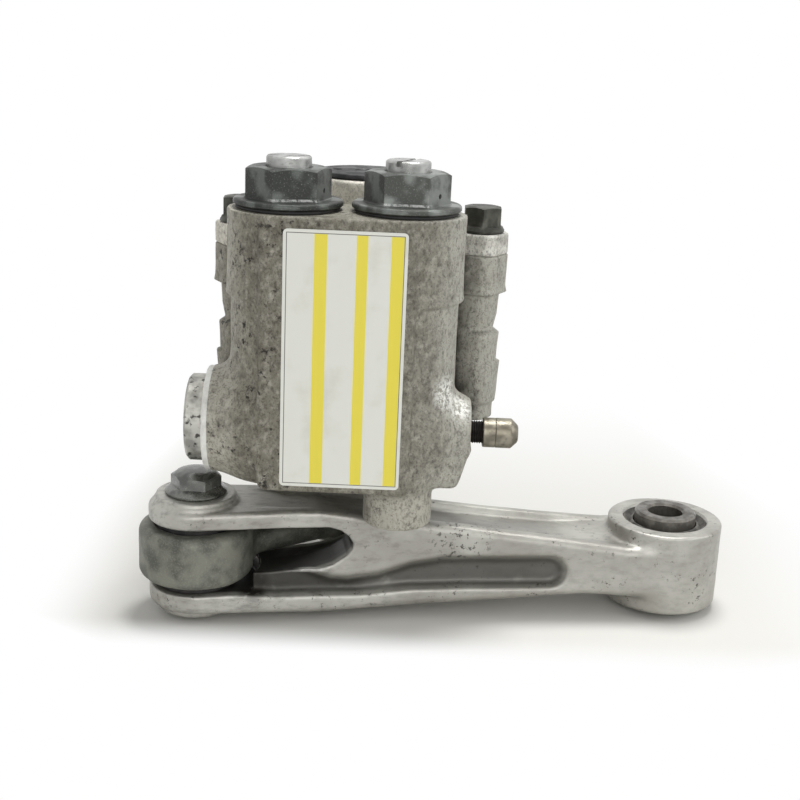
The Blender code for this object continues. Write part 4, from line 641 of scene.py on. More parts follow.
def link_field(x, y, z):
    """Beam with a fork at one end and an eye at the other."""
    half = link_half(x)
    beam = link_beam(x, y, z)
    inward = half - np.abs(y)
    drafted = 0.85 * (link_pocket(x, z + 0.33 * inward) + 0.58 * inward)
    rear_start = np.where(y > 0, SLOT_DEPTH - 2 - x, -POCKET_DEPTH)
    pocket = soft_max(soft_max(drafted, inward - POCKET_DEPTH, 1.6), rear_start, 1.6)
    beam = soft_max(beam, -pocket, 1.0)
    along = (15.5, 32, 60, 75, LINK_LENGTH - 40, LINK_LENGTH - 20)
    deep = np.interp(x, along, (-1.0, 1.5, 1.8, 2.8, 2.4, 0.4))
    channel = both(np.abs(y) - half + RIM_WIDTH, link_top(x) - deep - z, 2.0)
    beam = soft_max(beam, -channel, 1.2)
    seat = both(np.hypot(x, y) - 14.4, slab(z, FORK_ARM_TOP - 3, FORK_ARM_TOP + 1.2), 0.7)
    upper_seat = both(np.hypot(x, y) - 13.6, slab(z, FORK_ARM_TOP - 3, FORK_SEAT_TOP), 0.5)
    foot = both(np.hypot(x, y) - 13.2, slab(z, LINK_LOW, FORK_ARM_LOW + 2), 1.2)
    eye = both(np.hypot(x - LINK_LENGTH, y) - EYE_RADIUS, slab(z, LINK_LOW, EYE_TOP), 1.0)
    whole = joined(0.8, soft_min(beam, eye, 3.0), seat, upper_seat, foot) + 0.06 * waves(x, y, z, 3.9)
    whole = np.maximum(whole, slab(z, LINK_LOW, FORK_SEAT_TOP))
    return soft_max(whole, -link_slot(x, y, z), 0.9)


def build_link(node):
    bottom, top = heights(node)
    low = (-FORK_END_RADIUS, -EYE_RADIUS, bottom)
    high = (LINK_LENGTH + EYE_RADIUS, EYE_RADIUS, top)
    link = skinned("link", link_field, low, high, 0.6)
    cut_out(
        link,
        bore(EYE_BORE, bottom - 2, EYE_TOP + 2, (LINK_LENGTH, 0), 96),
        bore(FORK_BORE, bottom - 2, top + 2, count=48),
    )
    return on_axis(measure_hollows_and_edges(link, link_field, 7.0, link_beam), FORK, LINK_YAW)


# Lever, along its own X from the shaft to the eye in the fork
HUB_LOW = 15.5
HUB_CONE = 35.6
HUB_TOP = heights("lever_arm")[1]
HUB_RADIUS = 17.0
LEVER_EYE_LOW = 15.0
LEVER_EYE_TOP = 33.5
LEVER_EYE_RADIUS = 19.4
LEVER_EYE_BORE = 14.3
HUB_BORE = 10.8
SHANK_LOW = 18.6
SHANK_TOP = 28.2
SHANK_EDGE = 4.2


def lever_field(x, y, z):
    rim = np.interp(z, (HUB_CONE, HUB_TOP), (HUB_RADIUS, HUB_RADIUS - 3))
    hub = both(np.hypot(x, y) - rim, slab(z, HUB_LOW, HUB_TOP), 1.8)
    half = np.interp(x, (13.5, LEVER_LENGTH), (10.6, 8.1))
    shank = both(np.abs(y) - half, slab(z, SHANK_LOW, SHANK_TOP), SHANK_EDGE)
    shank = np.maximum(shank, slab(x, 0, LEVER_LENGTH))
    eye = both(np.hypot(x - LEVER_LENGTH, y) - LEVER_EYE_RADIUS, slab(z, LEVER_EYE_LOW, LEVER_EYE_TOP), 3.2)
    whole = soft_min(soft_min(shank, hub, 2.0), eye, 4.0)
    return whole + 0.1 * waves(x, y, z, 2.7)


def build_lever(node):
    top = heights(node)[1]
    low = (-HUB_RADIUS, -LEVER_EYE_RADIUS, LEVER_EYE_LOW)
    high = (LEVER_LENGTH + LEVER_EYE_RADIUS, LEVER_EYE_RADIUS, top)
    lever = skinned("lever", lever_field, low, high, 0.7)
    cut_out(
        lever,
        bore(LEVER_EYE_BORE, LEVER_EYE_LOW - 3, LEVER_EYE_TOP + 3, (LEVER_LENGTH, 0)),
        bore(HUB_BORE, HUB_LOW - 3, top + 3),
    )
    return on_axis(measure_hollows_and_edges(lever, lever_field, 5.0), (0, 0), LEVER_ANGLE)


# Damping adjusters, whose knobs are set a little below the height of their nodes
ADJUSTER_FLATS = 24.0
KNOB_SINK = 1.2


def build_adjuster_body(node, turn):
    """Flanged hexagon with a seat for its knob and a small drilled hole in one flat."""
    low, high = heights(node)
    seat = high - 12.0
    flange = seat + 2.0
    side = hexagon(ADJUSTER_FLATS)
    rings = [(5.3, low), (9.5, low)] + raised(seat, (9.5, 0), (17.0, 0), (17.5, 0.4), (17.5, 1.1))
    rings += [(16.6 + 0.9 * math.cos(a), flange - 0.9 + 0.9 * math.sin(a)) for a in (0.4, 0.8, 1.2)]
    rings += raised(flange, (16.6, 0), (side + 0.5, 0), (side + 0.12, 0.25))
    rings += hex_rings(ADJUSTER_FLATS, flange + 0.8, high)
    rings += raised(high, (7.8, 0), (7.5, -0.3), (7.5, -2.6), (5.3, -2.6))
    hole = along_x(spun("hole", [(0.8, 9), (0.8, 15)], 16), (0, 0, flange + 3.1))
    hole.matrix_world = Matrix.Rotation(-math.pi / 6, 4, "Z") @ hole.matrix_world
    return on_axis(drilled(spun(node, rings, hollow=True), hole), middle(node), turn)


def build_knob(node, turn):
    """Slotted adjusting screw."""
    low, high = heights(node)
    top = high - KNOB_SINK
    rings = raised(low, (4.6, 0), (5.0, 0.4)) + raised(high - 7.1, (5.0, 0), (6.9, 0), (7.2, 0.3))
    rings += raised(top, (7.2, -0.7), (6.9, -0.25), (6.4, 0), (3.0, -0.12), (0.4, -0.15))
    knob = drilled(spun(node, rings), slot_tool(top - 1.8, top + 1, 1.7))
    return on_axis(knob, middle(node), turn)


def slot_tool(low, high, width):
    """Long bar through the axis to cut a screwdriver slot with."""
    corners = ((-20, -width / 2), (20, -width / 2), (20, width / 2), (-20, width / 2))
    return prism("slot", *[[(x, y, z) for x, y in corners] for z in (low, high)])


# Bolts and nut
def build_cover_bolt(node):
    low, high = heights(node)
    seat = high - 8.5
    rings = [(3.2, low)] + threaded_rings(4.0, 0.6, 1.25, low + 0.8, low + 8.0, 48)
    rings += [(4.0, low + 8.2), (4.0, seat)]
    rings += raised(seat, (7.2, 0), (7.5, 0.3), (7.5, 0.9), (7.2, 1.3), (6.95, 1.9))
    rings += hex_rings(12.0, seat + 2.4, high, 48)
    return on_axis(spun(node, rings, 48), middle(node), math.pi / 6)


def build_fork_bolt(node):
    low, high = heights(node)
    seat = high - 8.1
    rings = [(4.2, low)] + threaded_rings(5.0, 0.7, 1.5, low + 0.8, low + 3.0)
    rings += [(5.0, low + 3.0), (5.0, seat)]
    rings += raised(seat, (10.1, 0), (10.5, 0.4), (10.5, 0.9), (10.2, 1.2), (9.0, 2.0))
    side = hexagon(15.0)
    rings += [(side, seat + 2.6), (side, high - 1.6 - 0.5 * (side - 7.4))]
    rings += raised(high, (7.3, -1.5), (6.6, -0.8), (5.4, -0.3), (3.0, 0))
    return on_axis(spun(node, rings), FORK)


def build_lever_nut(node):
    low, high = heights(node)
    side = hexagon(24.0)
    drop = 0.5 * (side - 11.4)
    rings = [(8.3, high)] + raised(low, (8.3, 0.8), (9.0, 0), (11.2, 0), (11.6, 0.1), (side, drop))
    rings += [(side, high - drop), (11.4, high)]
    return on_axis(spun(node, rings, hollow=True), (0, 0), LEVER_ANGLE)


# Gas chamber: plug, filling valve and its cap
def build_gas_plug(node):
    low, high = ends(node)
    rings = raised(low[0], (11.6, 0.6), (11.9, 0), (13.6, 0), (14.4, 0.8), (14.5, 11.0), (12.7, 11.0))
    rings += raised(low[0], (12.7, 14.3), (10.6, 14.3), (10.6, 16.7), (12.7, 16.7))
    return along_x(spun(node, rings + [(12.7, high[0])]), GAS)


def build_valve_stem(node):
    low, high = ends(node)
    rings = raised(high[0], (2.6, -12.0), (2.6, -0.3), (2.9, 0), (3.3, 0))
    thread = threaded_rings(3.85, 0.45, 0.79, VALVE_BOSS_END - 1.0, high[0] - 0.2)
    rings += thread[::-1] + [(3.85, VALVE_BOSS_END - 1.2), (3.85, low[0])]
    rings += [(1.2, low[0]), (1.2, high[0] - 12.0)]
    return along_x(spun(node, rings[::-1], hollow=True), VALVE)


def build_valve_cap(node):
    low, high = ends(node)
    start, end = low[0], high[0]
    rings = raised(start, (4.15, 0), (4.7, 0), (4.95, 0.3), (4.95, 4.0), (4.8, 4.15), (4.95, 4.3))
    rings += [(5.0, start + 4.6)] + raised(end, (5.0, -2.6), (4.9, -2.2), (3.1, -0.3), (2.6, 0))
    rings += raised(end, (0.3, 0), (0.3, -3.9), (4.15, -3.9))
    return along_x(spun(node, rings, hollow=True), VALVE)


# Rings, washers and the bearing cap
def build_ring(node, inner, outer, edge, place=(0, 0)):
    """Plain turned ring with broken edges, between its node's levels."""
    low, high = heights(node)
    rings = [(inner + edge, low), (outer - edge, low), (outer, low + edge), (outer, high - edge)]
    rings += [(outer - edge, high), (inner + edge, high), (inner, high - edge), (inner, low + edge)]
    return on_axis(spun(node, rings, hollow=True), place)


def build_bearing_cap(node):
    low, high = heights(node)
    seat = high - 1.7
    rings = raised(low, (14.5, 0), (14.8, 0.3)) + raised(seat, (14.8, 0), (16.7, 0), (17.0, 0.3))
    rings += raised(high, (17.0, -0.6), (16.8, -0.2), (16.4, 0), (4.0, 0), (3.6, -0.3))
    holes = [bore(1.6, seat, high + 2, (across, 0), 24) for across in (10, -10)]
    return drilled(spun(node, rings), *holes)


def build_eye_seal(node):
    """Rubber ring with a raised lip against the collar."""
    low, high = heights(node)
    rings = raised(low, (11.3, 0), (14.5, 0), (14.8, 0.3)) + raised(high, (14.8, -0.5), (14.2, -0.2))
    rings += raised(high, (13.6, -0.9), (12.6, -1.7), (11.9, -0.95), (11.4, -0.85), (11.2, -1.6))
    return on_axis(spun(node, rings, hollow=True), EYE)


# Label on the front panel
def build_label(node):
    low, high = ends(node)
    half = (high - low) / 2
    corner = 1.4
    border = []
    for quarter, (sx, sz) in enumerate(((1, 1), (-1, 1), (-1, -1), (1, -1))):
        for angle in np.linspace(0, math.pi / 2, 7) + quarter * math.pi / 2:
            x = sx * (half[0] - corner) + corner * math.cos(angle)
            z = sz * (half[2] - corner) + corner * math.sin(angle)
            border.append((x, z))
    label = prism("label", *[[(x, y, z) for x, z in border] for y in (-half[1], half[1])])
    return placed(sharpened(label), middle(node))


# Finishes
def shade(red, green, blue):
    """Linear colour of a display colour."""
    return tuple((c / 255) ** 2.2 for c in (red, green, blue)) + (1.0,)


class Surface:
    """Node material of patterns in a piece's own frame. Axes are in metres, other sizes in millimetres."""

    def __init__(self, name, metallic):
        self.material = bpy.data.materials.new(name)
        self.material.use_nodes = True
        self.tree = self.material.node_tree
        self.shader = self.tree.nodes["Principled BSDF"]
        self.shader.inputs["Metallic"].default_value = metallic
        self.place = self.tree.nodes.new("ShaderNodeTexCoord").outputs["Object"]

    def feed(self, socket, value):
        if isinstance(value, bpy.types.NodeSocket):
            self.tree.links.new(value, socket)
        else:
            socket.default_value = value

    def node(self, kind, **inputs):
        node = self.tree.nodes.new(kind)
        for name, value in inputs.items():
            self.feed(node.inputs[name], value)
        return node

    def noise(self, size, detail, stretch=(1, 1, 1), rough=0.5):
        where = self.node("ShaderNodeMapping", Vector=self.place, Scale=stretch).outputs["Vector"]
        scale = 1 / (size * MM)
        node = self.node("ShaderNodeTexNoise", Vector=where, Scale=scale, Detail=detail, Roughness=rough)
        return node.outputs["Fac"]

    def near(self, place, inner, outer):
        """1 within the inner distance of a place, falling to 0 at the outer distance."""
        node = self.tree.nodes.new("ShaderNodeVectorMath")
        node.operation = "DISTANCE"
        self.feed(node.inputs[0], self.place)
        self.feed(node.inputs[1], tuple(c * MM for c in place))
        return self.span(node.outputs["Value"], inner * MM, outer * MM, 1.0, 0.0)

    def span(self, value, low, high, start=0.0, end=1.0):
        limits = {"From Min": low, "From Max": high, "To Min": start, "To Max": end}
        node = self.node("ShaderNodeMapRange", Value=value, **limits)
        node.interpolation_type = "SMOOTHSTEP"
        return node.outputs["Result"]

    def math(self, operation, a, b):
        node = self.tree.nodes.new("ShaderNodeMath")
        node.operation = operation
        self.feed(node.inputs[0], a)
        self.feed(node.inputs[1], b)
        return node.outputs["Value"]

    def times(self, a, b):
        return self.math("MULTIPLY", a, b)

    def most(self, a, b):
        return self.math("MAXIMUM", a, b)

    def away(self, value, mark):
        """Distance of a value from a mark."""
        return self.math("ABSOLUTE", self.math("SUBTRACT", value, mark), 0.0)

    def mix(self, factor, a, b):
        """Blend of two colours, each a pattern or a display colour."""
        node = self.node("ShaderNodeMix", Factor=factor)
        node.data_type = "RGBA"
        for socket, colour in ((node.inputs[6], a), (node.inputs[7], b)):
            self.feed(socket, shade(*colour) if isinstance(colour, tuple) else colour)
        return node.outputs[2]

    def measure(self, name):
        node = self.tree.nodes.new("ShaderNodeAttribute")
        node.attribute_name = name
        return node.outputs["Fac"]

    def axis(self, letter):
        return self.node("ShaderNodeSeparateXYZ", Vector=self.place).outputs[letter]

    def show(self, colour, roughness, height=None, depth=0.1):
        self.feed(self.shader.inputs["Base Color"], colour)
        self.feed(self.shader.inputs["Roughness"], roughness)
        if height is not None:
            bump = self.node("ShaderNodeBump", Height=height, Distance=depth * MM)
            self.feed(self.shader.inputs["Normal"], bump.outputs["Normal"])
        return self.material


def cast_aluminium(name, left, right, soiled):
    """Sand-cast skin with dark mottling, grime and painted shade in its hollows, paler edges and bosses, a
    turned rim, a painted highlight on the valve boss's cone, and painted light that makes the right side
    lighter than the left.
    """
    s = Surface(name, 0.3)
    patches = s.noise(11, 6, rough=0.6)
    grain = s.noise(0.5, 6)
    across = s.axis("X")
    along = s.axis("Y")
    front = s.span(along, -0.032, -0.031, 1.0, 0.0)
    # Painted light: the colour goes from the left tone to the lighter right tone across X, as if lit from
    # the right.
    colour = s.mix(s.span(across, 0.0, 0.035), left, right)
    panel = s.span(along, (PANEL_FRONT + 1) * MM, (PANEL_FRONT + 9) * MM, 0.66 * soiled, 0.0)
    colour = s.mix(panel, colour, (114, 110, 99))
    port = s.span(across, -0.042, -0.034, 1.0, 0.0)
    bosses = s.times(s.most(port, s.span(s.axis("Z"), 0.050, 0.054, 1.0, 0.0)), front)
    colour = s.mix(s.times(bosses, 0.85), colour, (184, 181, 169))
    colour = s.mix(s.span(patches, 0.45, 0.72, 0.0, 0.6), colour, (90, 86, 76))
    strength = s.span(along, -0.035, -0.015, 0.65, 0.35)
    mottling = s.span(s.noise(1.1, 7, (1, 1, 0.62), 0.7), 0.45, 0.68, 0.0, strength)
    colour = s.mix(mottling, colour, (62, 58, 50))
    bare = s.span(s.noise(2.8, 8, (1, 1, 0.8), 0.7), 0.44, 0.72, 0.0, 0.55)
    colour = s.mix(bare, colour, (190, 187, 176))
    flecks = s.span(s.noise(0.5, 4, (1, 1, 0.8)), 0.55, 0.7, 0.0, 0.5)
    colour = s.mix(flecks, colour, (60, 56, 48))
    thick = s.times(s.span(s.noise(2.6, 8, rough=0.72), 0.54, 0.63), s.span(s.noise(12, 3), 0.44, 0.58))
    thick = s.times(thick, s.span(across, -0.02, 0.03, soiled, 0.4 * soiled))
    colour = s.mix(thick, colour, (42, 38, 32))
    # Grime and painted shade: hollows, where shade falls, are painted darker in noisy patches; soiled
    # scales it.
    hollow_grime_and_shade = s.times(s.span(s.measure("hollow"), 0.15, 0.8), s.span(s.noise(4, 4), 0.3, 0.55))
    colour = s.mix(s.times(hollow_grime_and_shade, 0.85 * soiled), colour, (58, 53, 45))
    colour = s.mix(s.span(s.measure("edge"), 0.3, 0.85, 0.0, 0.8), colour, (192, 190, 182))
    # Painted highlight: a bright near-white patch on the upper front of the valve boss's cone.
    cone = s.most(s.near((31, -56, 86), 2.0, 8.5), s.near((34, -52, 80), 2.0, 7.0))
    cone_painted_highlight = s.times(cone, s.span(s.noise(1.4, 6, rough=0.7), 0.42, 0.56))
    colour = s.mix(cone_painted_highlight, colour, (234, 234, 229))
    end = PORT_END + MACHINED_BAND
    rim = s.times(front, s.span(across, (end - 0.1) * MM, (end + 0.1) * MM, 1.0, 0.0))
    colour = s.mix(s.times(rim, s.span(patches, 0.4, 0.65, 1.0, 0.6)), colour, (236, 236, 232))
    return s.show(colour, s.span(grain, 0.3, 0.7, 0.5, 0.7), s.math("SUBTRACT", grain, mottling), 0.14)


def forged_aluminium(name):
    """Satin forging with bright edges, dark specks and scrapes, grime and painted shade in its hollows,
    painted shade deep in the slot and a painted shadow with some grease beside the lever's eye.
    """
    s = Surface(name, 0.55)
    patches = s.noise(20, 5)
    grain = s.noise(0.5, 3)
    colour = s.mix(s.span(patches, 0.35, 0.65), (160, 158, 151), (184, 183, 176))
    soiled = s.span(s.axis("X"), 0.03, 0.1, 0.7, 0.35)
    smears = s.span(s.noise(2.2, 6, (0.4, 1, 1), 0.65), 0.44, 0.72, 0.0, soiled)
    colour = s.mix(smears, colour, (124, 122, 115))
    specks = s.span(s.noise(2.0, 9, rough=0.75), 0.56, 0.64)
    marks = s.times(specks, s.span(s.noise(9, 3), 0.48, 0.58))
    stain = s.times(s.near((90, -14, 31), 4.0, 16.0), s.span(s.noise(2.4, 7, rough=0.7), 0.55, 0.6))
    colour = s.mix(s.times(s.most(marks, stain), 0.9), colour, (60, 57, 51))
    sunk = s.measure("hollow")
    # Grime and painted shade in the pockets and channel, painted darker still near the fork where the slot
    # above shades them.
    pocket_grime_and_shade = s.times(s.span(sunk, 0.2, 0.6), s.span(s.axis("X"), 0.045, 0.065, 0.95, 0.76))
    colour = s.mix(s.times(pocket_grime_and_shade, s.span(s.noise(9, 3), 0.05, 0.4)), colour, (56, 55, 51))
    # Painted shade deep inside the slot and the deepest cuts.
    colour = s.mix(s.span(sunk, 0.7, 1.0, 0.0, 0.85), colour, (46, 45, 42))
    colour = s.mix(s.span(s.measure("edge"), 0.3, 0.8, 0.0, 0.9), colour, (222, 221, 216))
    # Painted shadow, with a little grease, on the fork ledge beside the lever's eye.
    painted_shadow_and_grease = s.most(s.near((19, -11, 14.5), 3.5, 7.5), s.near((19, 11, 14.5), 3.5, 7.5))
    colour = s.mix(s.times(painted_shadow_and_grease, s.span(s.noise(3, 4), 0.2, 0.5)), colour, (46, 44, 40))
    return s.show(colour, s.span(patches, 0.3, 0.7, 0.36, 0.5), grain, 0.05)


def lever_steel(name):
    """Rough dark forging with a paler rubbed upper edge."""
    s = Surface(name, 0.45)
    patches = s.noise(8, 5)
    grain = s.noise(0.6, 4)
    colour = s.mix(s.span(patches, 0.35, 0.65), (84, 86, 79), (126, 127, 117))
    colour = s.mix(s.span(grain, 0.46, 0.7, 0.0, 0.32), colour, (158, 157, 147))
    colour = s.mix(s.span(s.measure("edge"), 0.25, 0.8), colour, (158, 157, 148))
    return s.show(colour, s.span(grain, 0.3, 0.7, 0.45, 0.65), grain, 0.12)


def hexagon_finish(name, dark, light):
    """Dark anodised hexagon with smooth worn patches and a bright rubbed line where it meets its flange."""
    s = Surface(name, 0.4)
    patches = s.noise(9, 3)
    grain = s.noise(0.5, 5)
    worn = s.span(patches, 0.44, 0.6)
    colour = s.mix(worn, dark, light)
    colour = s.mix(s.span(grain, 0.55, 0.75, 0.0, 0.4), colour, (150, 152, 148))
    foot = s.span(s.away(s.axis("Z"), (HEX_SEAT + 2.7) * MM), 0.25 * MM, 0.5 * MM, 1.0, 0.0)
    facing = s.span(s.axis("Y"), -0.012, -0.009, 1.0, 0.0)
    rubbed = s.times(s.times(foot, facing), s.span(s.noise(1.6, 5, rough=0.7), 0.4, 0.62, 0.0, 0.7))
    colour = s.mix(rubbed, colour, (206, 208, 205))
    relief = s.times(grain, s.span(worn, 0, 1, 1, 0.3))
    return s.show(colour, s.span(patches, 0.4, 0.6, 0.55, 0.36), relief, 0.1)


def dark_metal(name, dark, light, rough):
    """Blackened steel, rubbed a little lighter in places."""
    s = Surface(name, 0.5)
    patches = s.noise(4, 4)
    grain = s.noise(0.5, 3)
    colour = s.mix(s.span(patches, 0.4, 0.65), dark, light)
    return s.show(colour, s.span(patches, 0.4, 0.6, rough + 0.08, rough - 0.08), grain, 0.04)


def bright_metal(name, dark, light, rough, stained):
    """Plated or turned metal with faint turning marks and stains."""
    s = Surface(name, 0.75)
    patches = s.noise(4, 4)
    colour = s.mix(s.span(patches, 0.35, 0.65), dark, light)
    stains = s.span(s.noise(2.6, 5), 0.58, 0.66, 0.0, stained)
    colour = s.mix(stains, colour, (48, 46, 42))
    turning = s.noise(0.35, 2, (0.15, 0.15, 1))
    return s.show(colour, s.span(patches, 0.3, 0.7, rough - 0.06, rough + 0.1), turning, 0.02)


def black_rubber(name, dark, light):
    s = Surface(name, 0.0)
    patches = s.noise(3, 4)
    colour = s.mix(s.span(patches, 0.35, 0.7), dark, light)
    return s.show(colour, s.span(patches, 0.3, 0.7, 0.55, 0.75), s.noise(0.4, 2), 0.03)


def label_film(name):
    """White film with three yellow bands and a thin dark frame line."""
    s = Surface(name, 0.0)
    low, high = ends("blank_label")
    half = (high - low) / 2
    grime = s.noise(14, 5)
    colour = s.mix(s.span(grime, 0.5, 0.8), (231, 232, 225), (214, 213, 202))
    across = s.math("DIVIDE", s.axis("X"), 2 * half[0] * MM)
    bands = None
    for start, end in ((0.25, 0.355), (0.588, 0.68), (0.865, 0.972)):
        centre = (start + end) / 2 - 0.5
        wide = (end - start) / 2
        band = s.span(s.away(across, centre), wide - 0.004, wide + 0.004, 1.0, 0.0)
        bands = band if bands is None else s.most(bands, band)
    from_side = s.math("SUBTRACT", half[0] * MM, s.away(s.axis("X"), 0.0))
    from_end = s.math("SUBTRACT", half[2] * MM, s.away(s.axis("Z"), 0.0))
    inset = s.math("MINIMUM", from_side, from_end)
    bands = s.times(bands, s.span(inset, 1.2 * MM, 1.3 * MM))
    colour = s.mix(bands, colour, (238, 222, 78))
    line = s.span(s.away(inset, 1.1 * MM), 0.08 * MM, 0.16 * MM, 1.0, 0.0)
    colour = s.mix(line, colour, (96, 94, 88))
    return s.show(colour, s.span(grime, 0.3, 0.7, 0.32, 0.42), grime, 0.02)


HEX_SEAT = heights("compression_seal_washer")[1]
FINISHES = {
    name: make(name, *values)
    for name, make, *values in (
        # The cast finish's right colour is lighter than its left: painted light from the right side.
        ("cast_aluminium", cast_aluminium, (140, 137, 124), (172, 171, 161), 1.0),
        ("forged_aluminium", forged_aluminium),
        ("lever_steel", lever_steel),
        ("dark_steel", dark_metal, (54, 54, 49), (78, 78, 71), 0.5),
        ("dark_anodised", hexagon_finish, (52, 54, 51), (90, 94, 90)),
        ("plated_steel", bright_metal, (136, 135, 129), (182, 181, 174), 0.38, 0.9),
        ("bright_steel", bright_metal, (142, 143, 140), (182, 183, 180), 0.32, 0.4),
        ("valve_nickel", bright_metal, (112, 107, 95), (146, 141, 127), 0.36, 0.3),
        ("bearing_bronze", bright_metal, (140, 108, 66), (176, 140, 90), 0.35, 0.2),
        ("black_rubber", black_rubber, (26, 26, 27), (52, 51, 50)),
        ("label_film", label_film),
    )
}
OWN_FINISHES = {
    "end_cover": cast_aluminium("clean_casting", (220, 216, 204), (218, 217, 209), 0.3),
    "rebound_adjuster_body": hexagon_finish("worn_anodised", (74, 76, 72), (120, 124, 120)),
    "fork_bolt": bright_metal("dark_zinc", (92, 93, 90), (128, 129, 125), 0.22, 0.2),
    "lever_nut": bright_metal("nut_plating", (128, 128, 124), (166, 166, 161), 0.36, 0.35),
    "eye_collar": dark_metal("collar_steel", (90, 87, 82), (122, 119, 113), 0.42),
    "eye_seal_upper": black_rubber("dusty_rubber", (62, 60, 57), (112, 110, 104)),
    "bearing_cap": dark_metal("cap_steel", (46, 46, 47), (58, 58, 58), 0.55),
    "gas_valve_stem": dark_metal("stem_rubber", (34, 31, 30), (50, 46, 44), 0.5),
}
SLOT_OF = {part["node"]: part["material_slot"] for part in frame["record"]["subparts"]}
BODY_OF = {node: body for body, nodes in frame["record"]["behaviour"]["bodies"].items() for node in nodes}


def stand_for(node, build, *values):
    """Builds a piece, finishes it and lets it take the place of its CAD node."""
    piece = build(node, *values)
    slot = SLOT_OF[node]
    piece.data.materials.clear()
    piece.data.materials.append(OWN_FINISHES.get(node, FINISHES[slot]))
    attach(piece, BODY_OF[node])
    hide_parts(node)


def finish_frame():
    """Gives every CAD node that stays in sight the finish of its slot."""
    for node, thing in frame["nodes"].items():
        for place in thing.material_slots:
            place.material = FINISHES[SLOT_OF[node]]


# Stage, light and camera
def backdrop_rays(tree):
    """1 for rays that show the plain backdrop: the camera's, and mirrored or clear ones."""
    ray = tree.nodes.new("ShaderNodeLightPath")
    shown = ray.outputs["Is Camera Ray"]
    for kind in ("Is Glossy Ray", "Is Transmission Ray"):
        either = tree.nodes.new("ShaderNodeMath")
        either.operation = "MAXIMUM"
        tree.links.new(shown, either.inputs[0])
        tree.links.new(ray.outputs[kind], either.inputs[1])
        shown = either.outputs["Value"]
    return shown


def plain_white(tree, kind):
    """Shader of even white light."""
    node = tree.nodes.new(kind)
    node.inputs["Color"].default_value = (1.0, 1.0, 1.0, 1.0)
    return node.outputs[0]


def show_either(tree, factor, first, second, output):
    """Shows the first shader where the factor is 0 and the second where it is 1."""
    choose = tree.nodes.new("ShaderNodeMixShader")
    for socket, source in zip(choose.inputs, (factor, first, second)):
        tree.links.new(source, socket)
    tree.links.new(choose.outputs["Shader"], tree.nodes[output].inputs["Surface"])


def build_floor():
    """Pale floor that keeps the soft shadow near the object and is plain white further out."""
    size = 3.0
    mesh = bpy.data.meshes.new("floor")
    corners = [(-size, -size, 0), (size, -size, 0), (size, size, 0), (-size, size, 0)]
    mesh.from_pydata(corners, [], [[0, 1, 2, 3]])
    floor = bpy.data.objects.new("floor", mesh)
    bpy.context.scene.collection.objects.link(floor)
    s = Surface("floor", 0.0)
    tone = s.span(s.noise(400, 2), 0.3, 0.7)
    s.show(s.mix(tone, (224, 223, 218), (230, 229, 224)), s.span(tone, 0.0, 1.0, 0.8, 0.9))
    far = s.math("ADD", s.span(s.axis("Y"), 0.04, 0.25), s.span(s.axis("Y"), -0.05, -0.072))
    side = s.math("ADD", s.span(s.axis("X"), 0.13, 0.2), s.span(s.axis("X"), -0.078, -0.11))
    away = s.math("MINIMUM", s.math("ADD", far, side), 1.0)
    shown = s.times(away, backdrop_rays(s.tree))
    white = plain_white(s.tree, "ShaderNodeEmission")
    show_either(s.tree, shown, s.shader.outputs["BSDF"], white, "Material Output")
    mesh.materials.append(s.material)


def build_world():
    world = bpy.data.worlds.new("studio")
    world.use_nodes = True
    tree = world.node_tree
    light = tree.nodes["Background"]
    where = tree.nodes.new("ShaderNodeTexCoord")
    height = tree.nodes.new("ShaderNodeSeparateXYZ")
    tree.links.new(where.outputs["Generated"], height.inputs["Vector"])
    sky = tree.nodes.new("ShaderNodeValToRGB")
    level, overhead = sky.color_ramp.elements
    level.color = (0.17, 0.17, 0.17, 1.0)
    overhead.position = 0.8
    overhead.color = (0.42, 0.42, 0.415, 1.0)
    tree.links.new(height.outputs["Z"], sky.inputs["Fac"])
    tree.links.new(sky.outputs["Color"], light.inputs["Color"])
    white = plain_white(tree, "ShaderNodeBackground")
    show_either(tree, backdrop_rays(tree), light.outputs["Background"], white, "World Output")
    bpy.context.scene.world = world


def add_softbox(name, place, aim, size, power):
    lamp = bpy.data.lights.new(name, "AREA")
    lamp.shape = "DISK"
    lamp.size = size
    lamp.energy = power
    box = bpy.data.objects.new(name, lamp)
    box.location = place
    box.rotation_euler = (Vector(aim) - Vector(place)).to_track_quat("-Z", "Y").to_euler()
    bpy.context.scene.collection.objects.link(box)


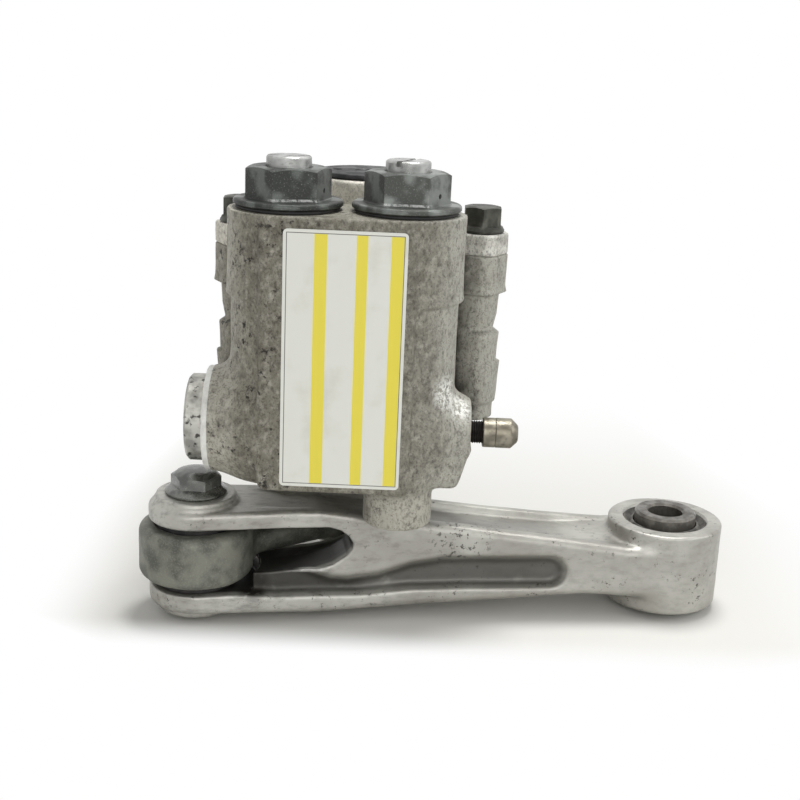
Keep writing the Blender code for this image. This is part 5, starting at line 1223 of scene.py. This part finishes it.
def add_camera():
    """Camera in front of the block, looking down at it with a slight roll."""
    view = bpy.data.cameras.new("camera")
    view.lens = 57.86
    camera = bpy.data.objects.new("camera", view)
    down = math.radians(16.1044)
    roll = math.radians(2.4333)
    place = Matrix.Translation((0.0152, -0.453692, 0.198106))
    tilt = Matrix.Rotation(math.pi / 2 - down, 4, "X")
    camera.matrix_world = place @ tilt @ Matrix.Rotation(roll, 4, "Z")
    bpy.context.scene.collection.objects.link(camera)
    bpy.context.scene.camera = camera


def build_pieces():
    stand_for("main_casting", build_main_casting)
    stand_for("end_cover", build_end_cover)
    stand_for("bearing_cap", build_bearing_cap)
    stand_for("link_rod", build_link)
    stand_for("lever_arm", build_lever)
    for name, turn in (("compression", 14), ("rebound", -1)):
        stand_for(f"{name}_adjuster_body", build_adjuster_body, math.radians(turn))
    for name, turn in (("compression", 4), ("rebound", 65)):
        stand_for(f"{name}_adjuster_screw", build_knob, math.radians(turn))
    for node in COVER_BOLTS:
        stand_for(node, build_cover_bolt)
    stand_for("fork_bolt", build_fork_bolt)
    stand_for("lever_nut", build_lever_nut)
    stand_for("gas_plug", build_gas_plug)
    stand_for("gas_valve_stem", build_valve_stem)
    stand_for("gas_valve_cap", build_valve_cap)
    for name, place in (("compression", LEFT), ("rebound", RIGHT)):
        stand_for(f"{name}_seal_washer", build_ring, 9.8, 16.6, 0.2, place)
    stand_for("lever_washer", build_ring, 8.3, 14.5, 0.3)
    stand_for("eye_collar", build_ring, 6.1, 10.9, 0.8, EYE)
    stand_for("eye_seal_upper", build_eye_seal)
    stand_for("blank_label", build_label)


build_pieces()
finish_frame()
build_floor()
build_world()
add_softbox("key", place=(0.12, 0.1, 0.95), aim=(0.02, 0.0, 0.08), size=0.35, power=5.6)
add_softbox("side", place=(0.9, -0.25, 0.5), aim=(0.03, 0.0, 0.1), size=0.6, power=2.0)
add_softbox("front", place=(0.1, -1.1, 0.5), aim=(0.02, 0.0, 0.08), size=0.8, power=3.8)
add_camera()
bpy.context.scene.view_settings.view_transform = "Standard"
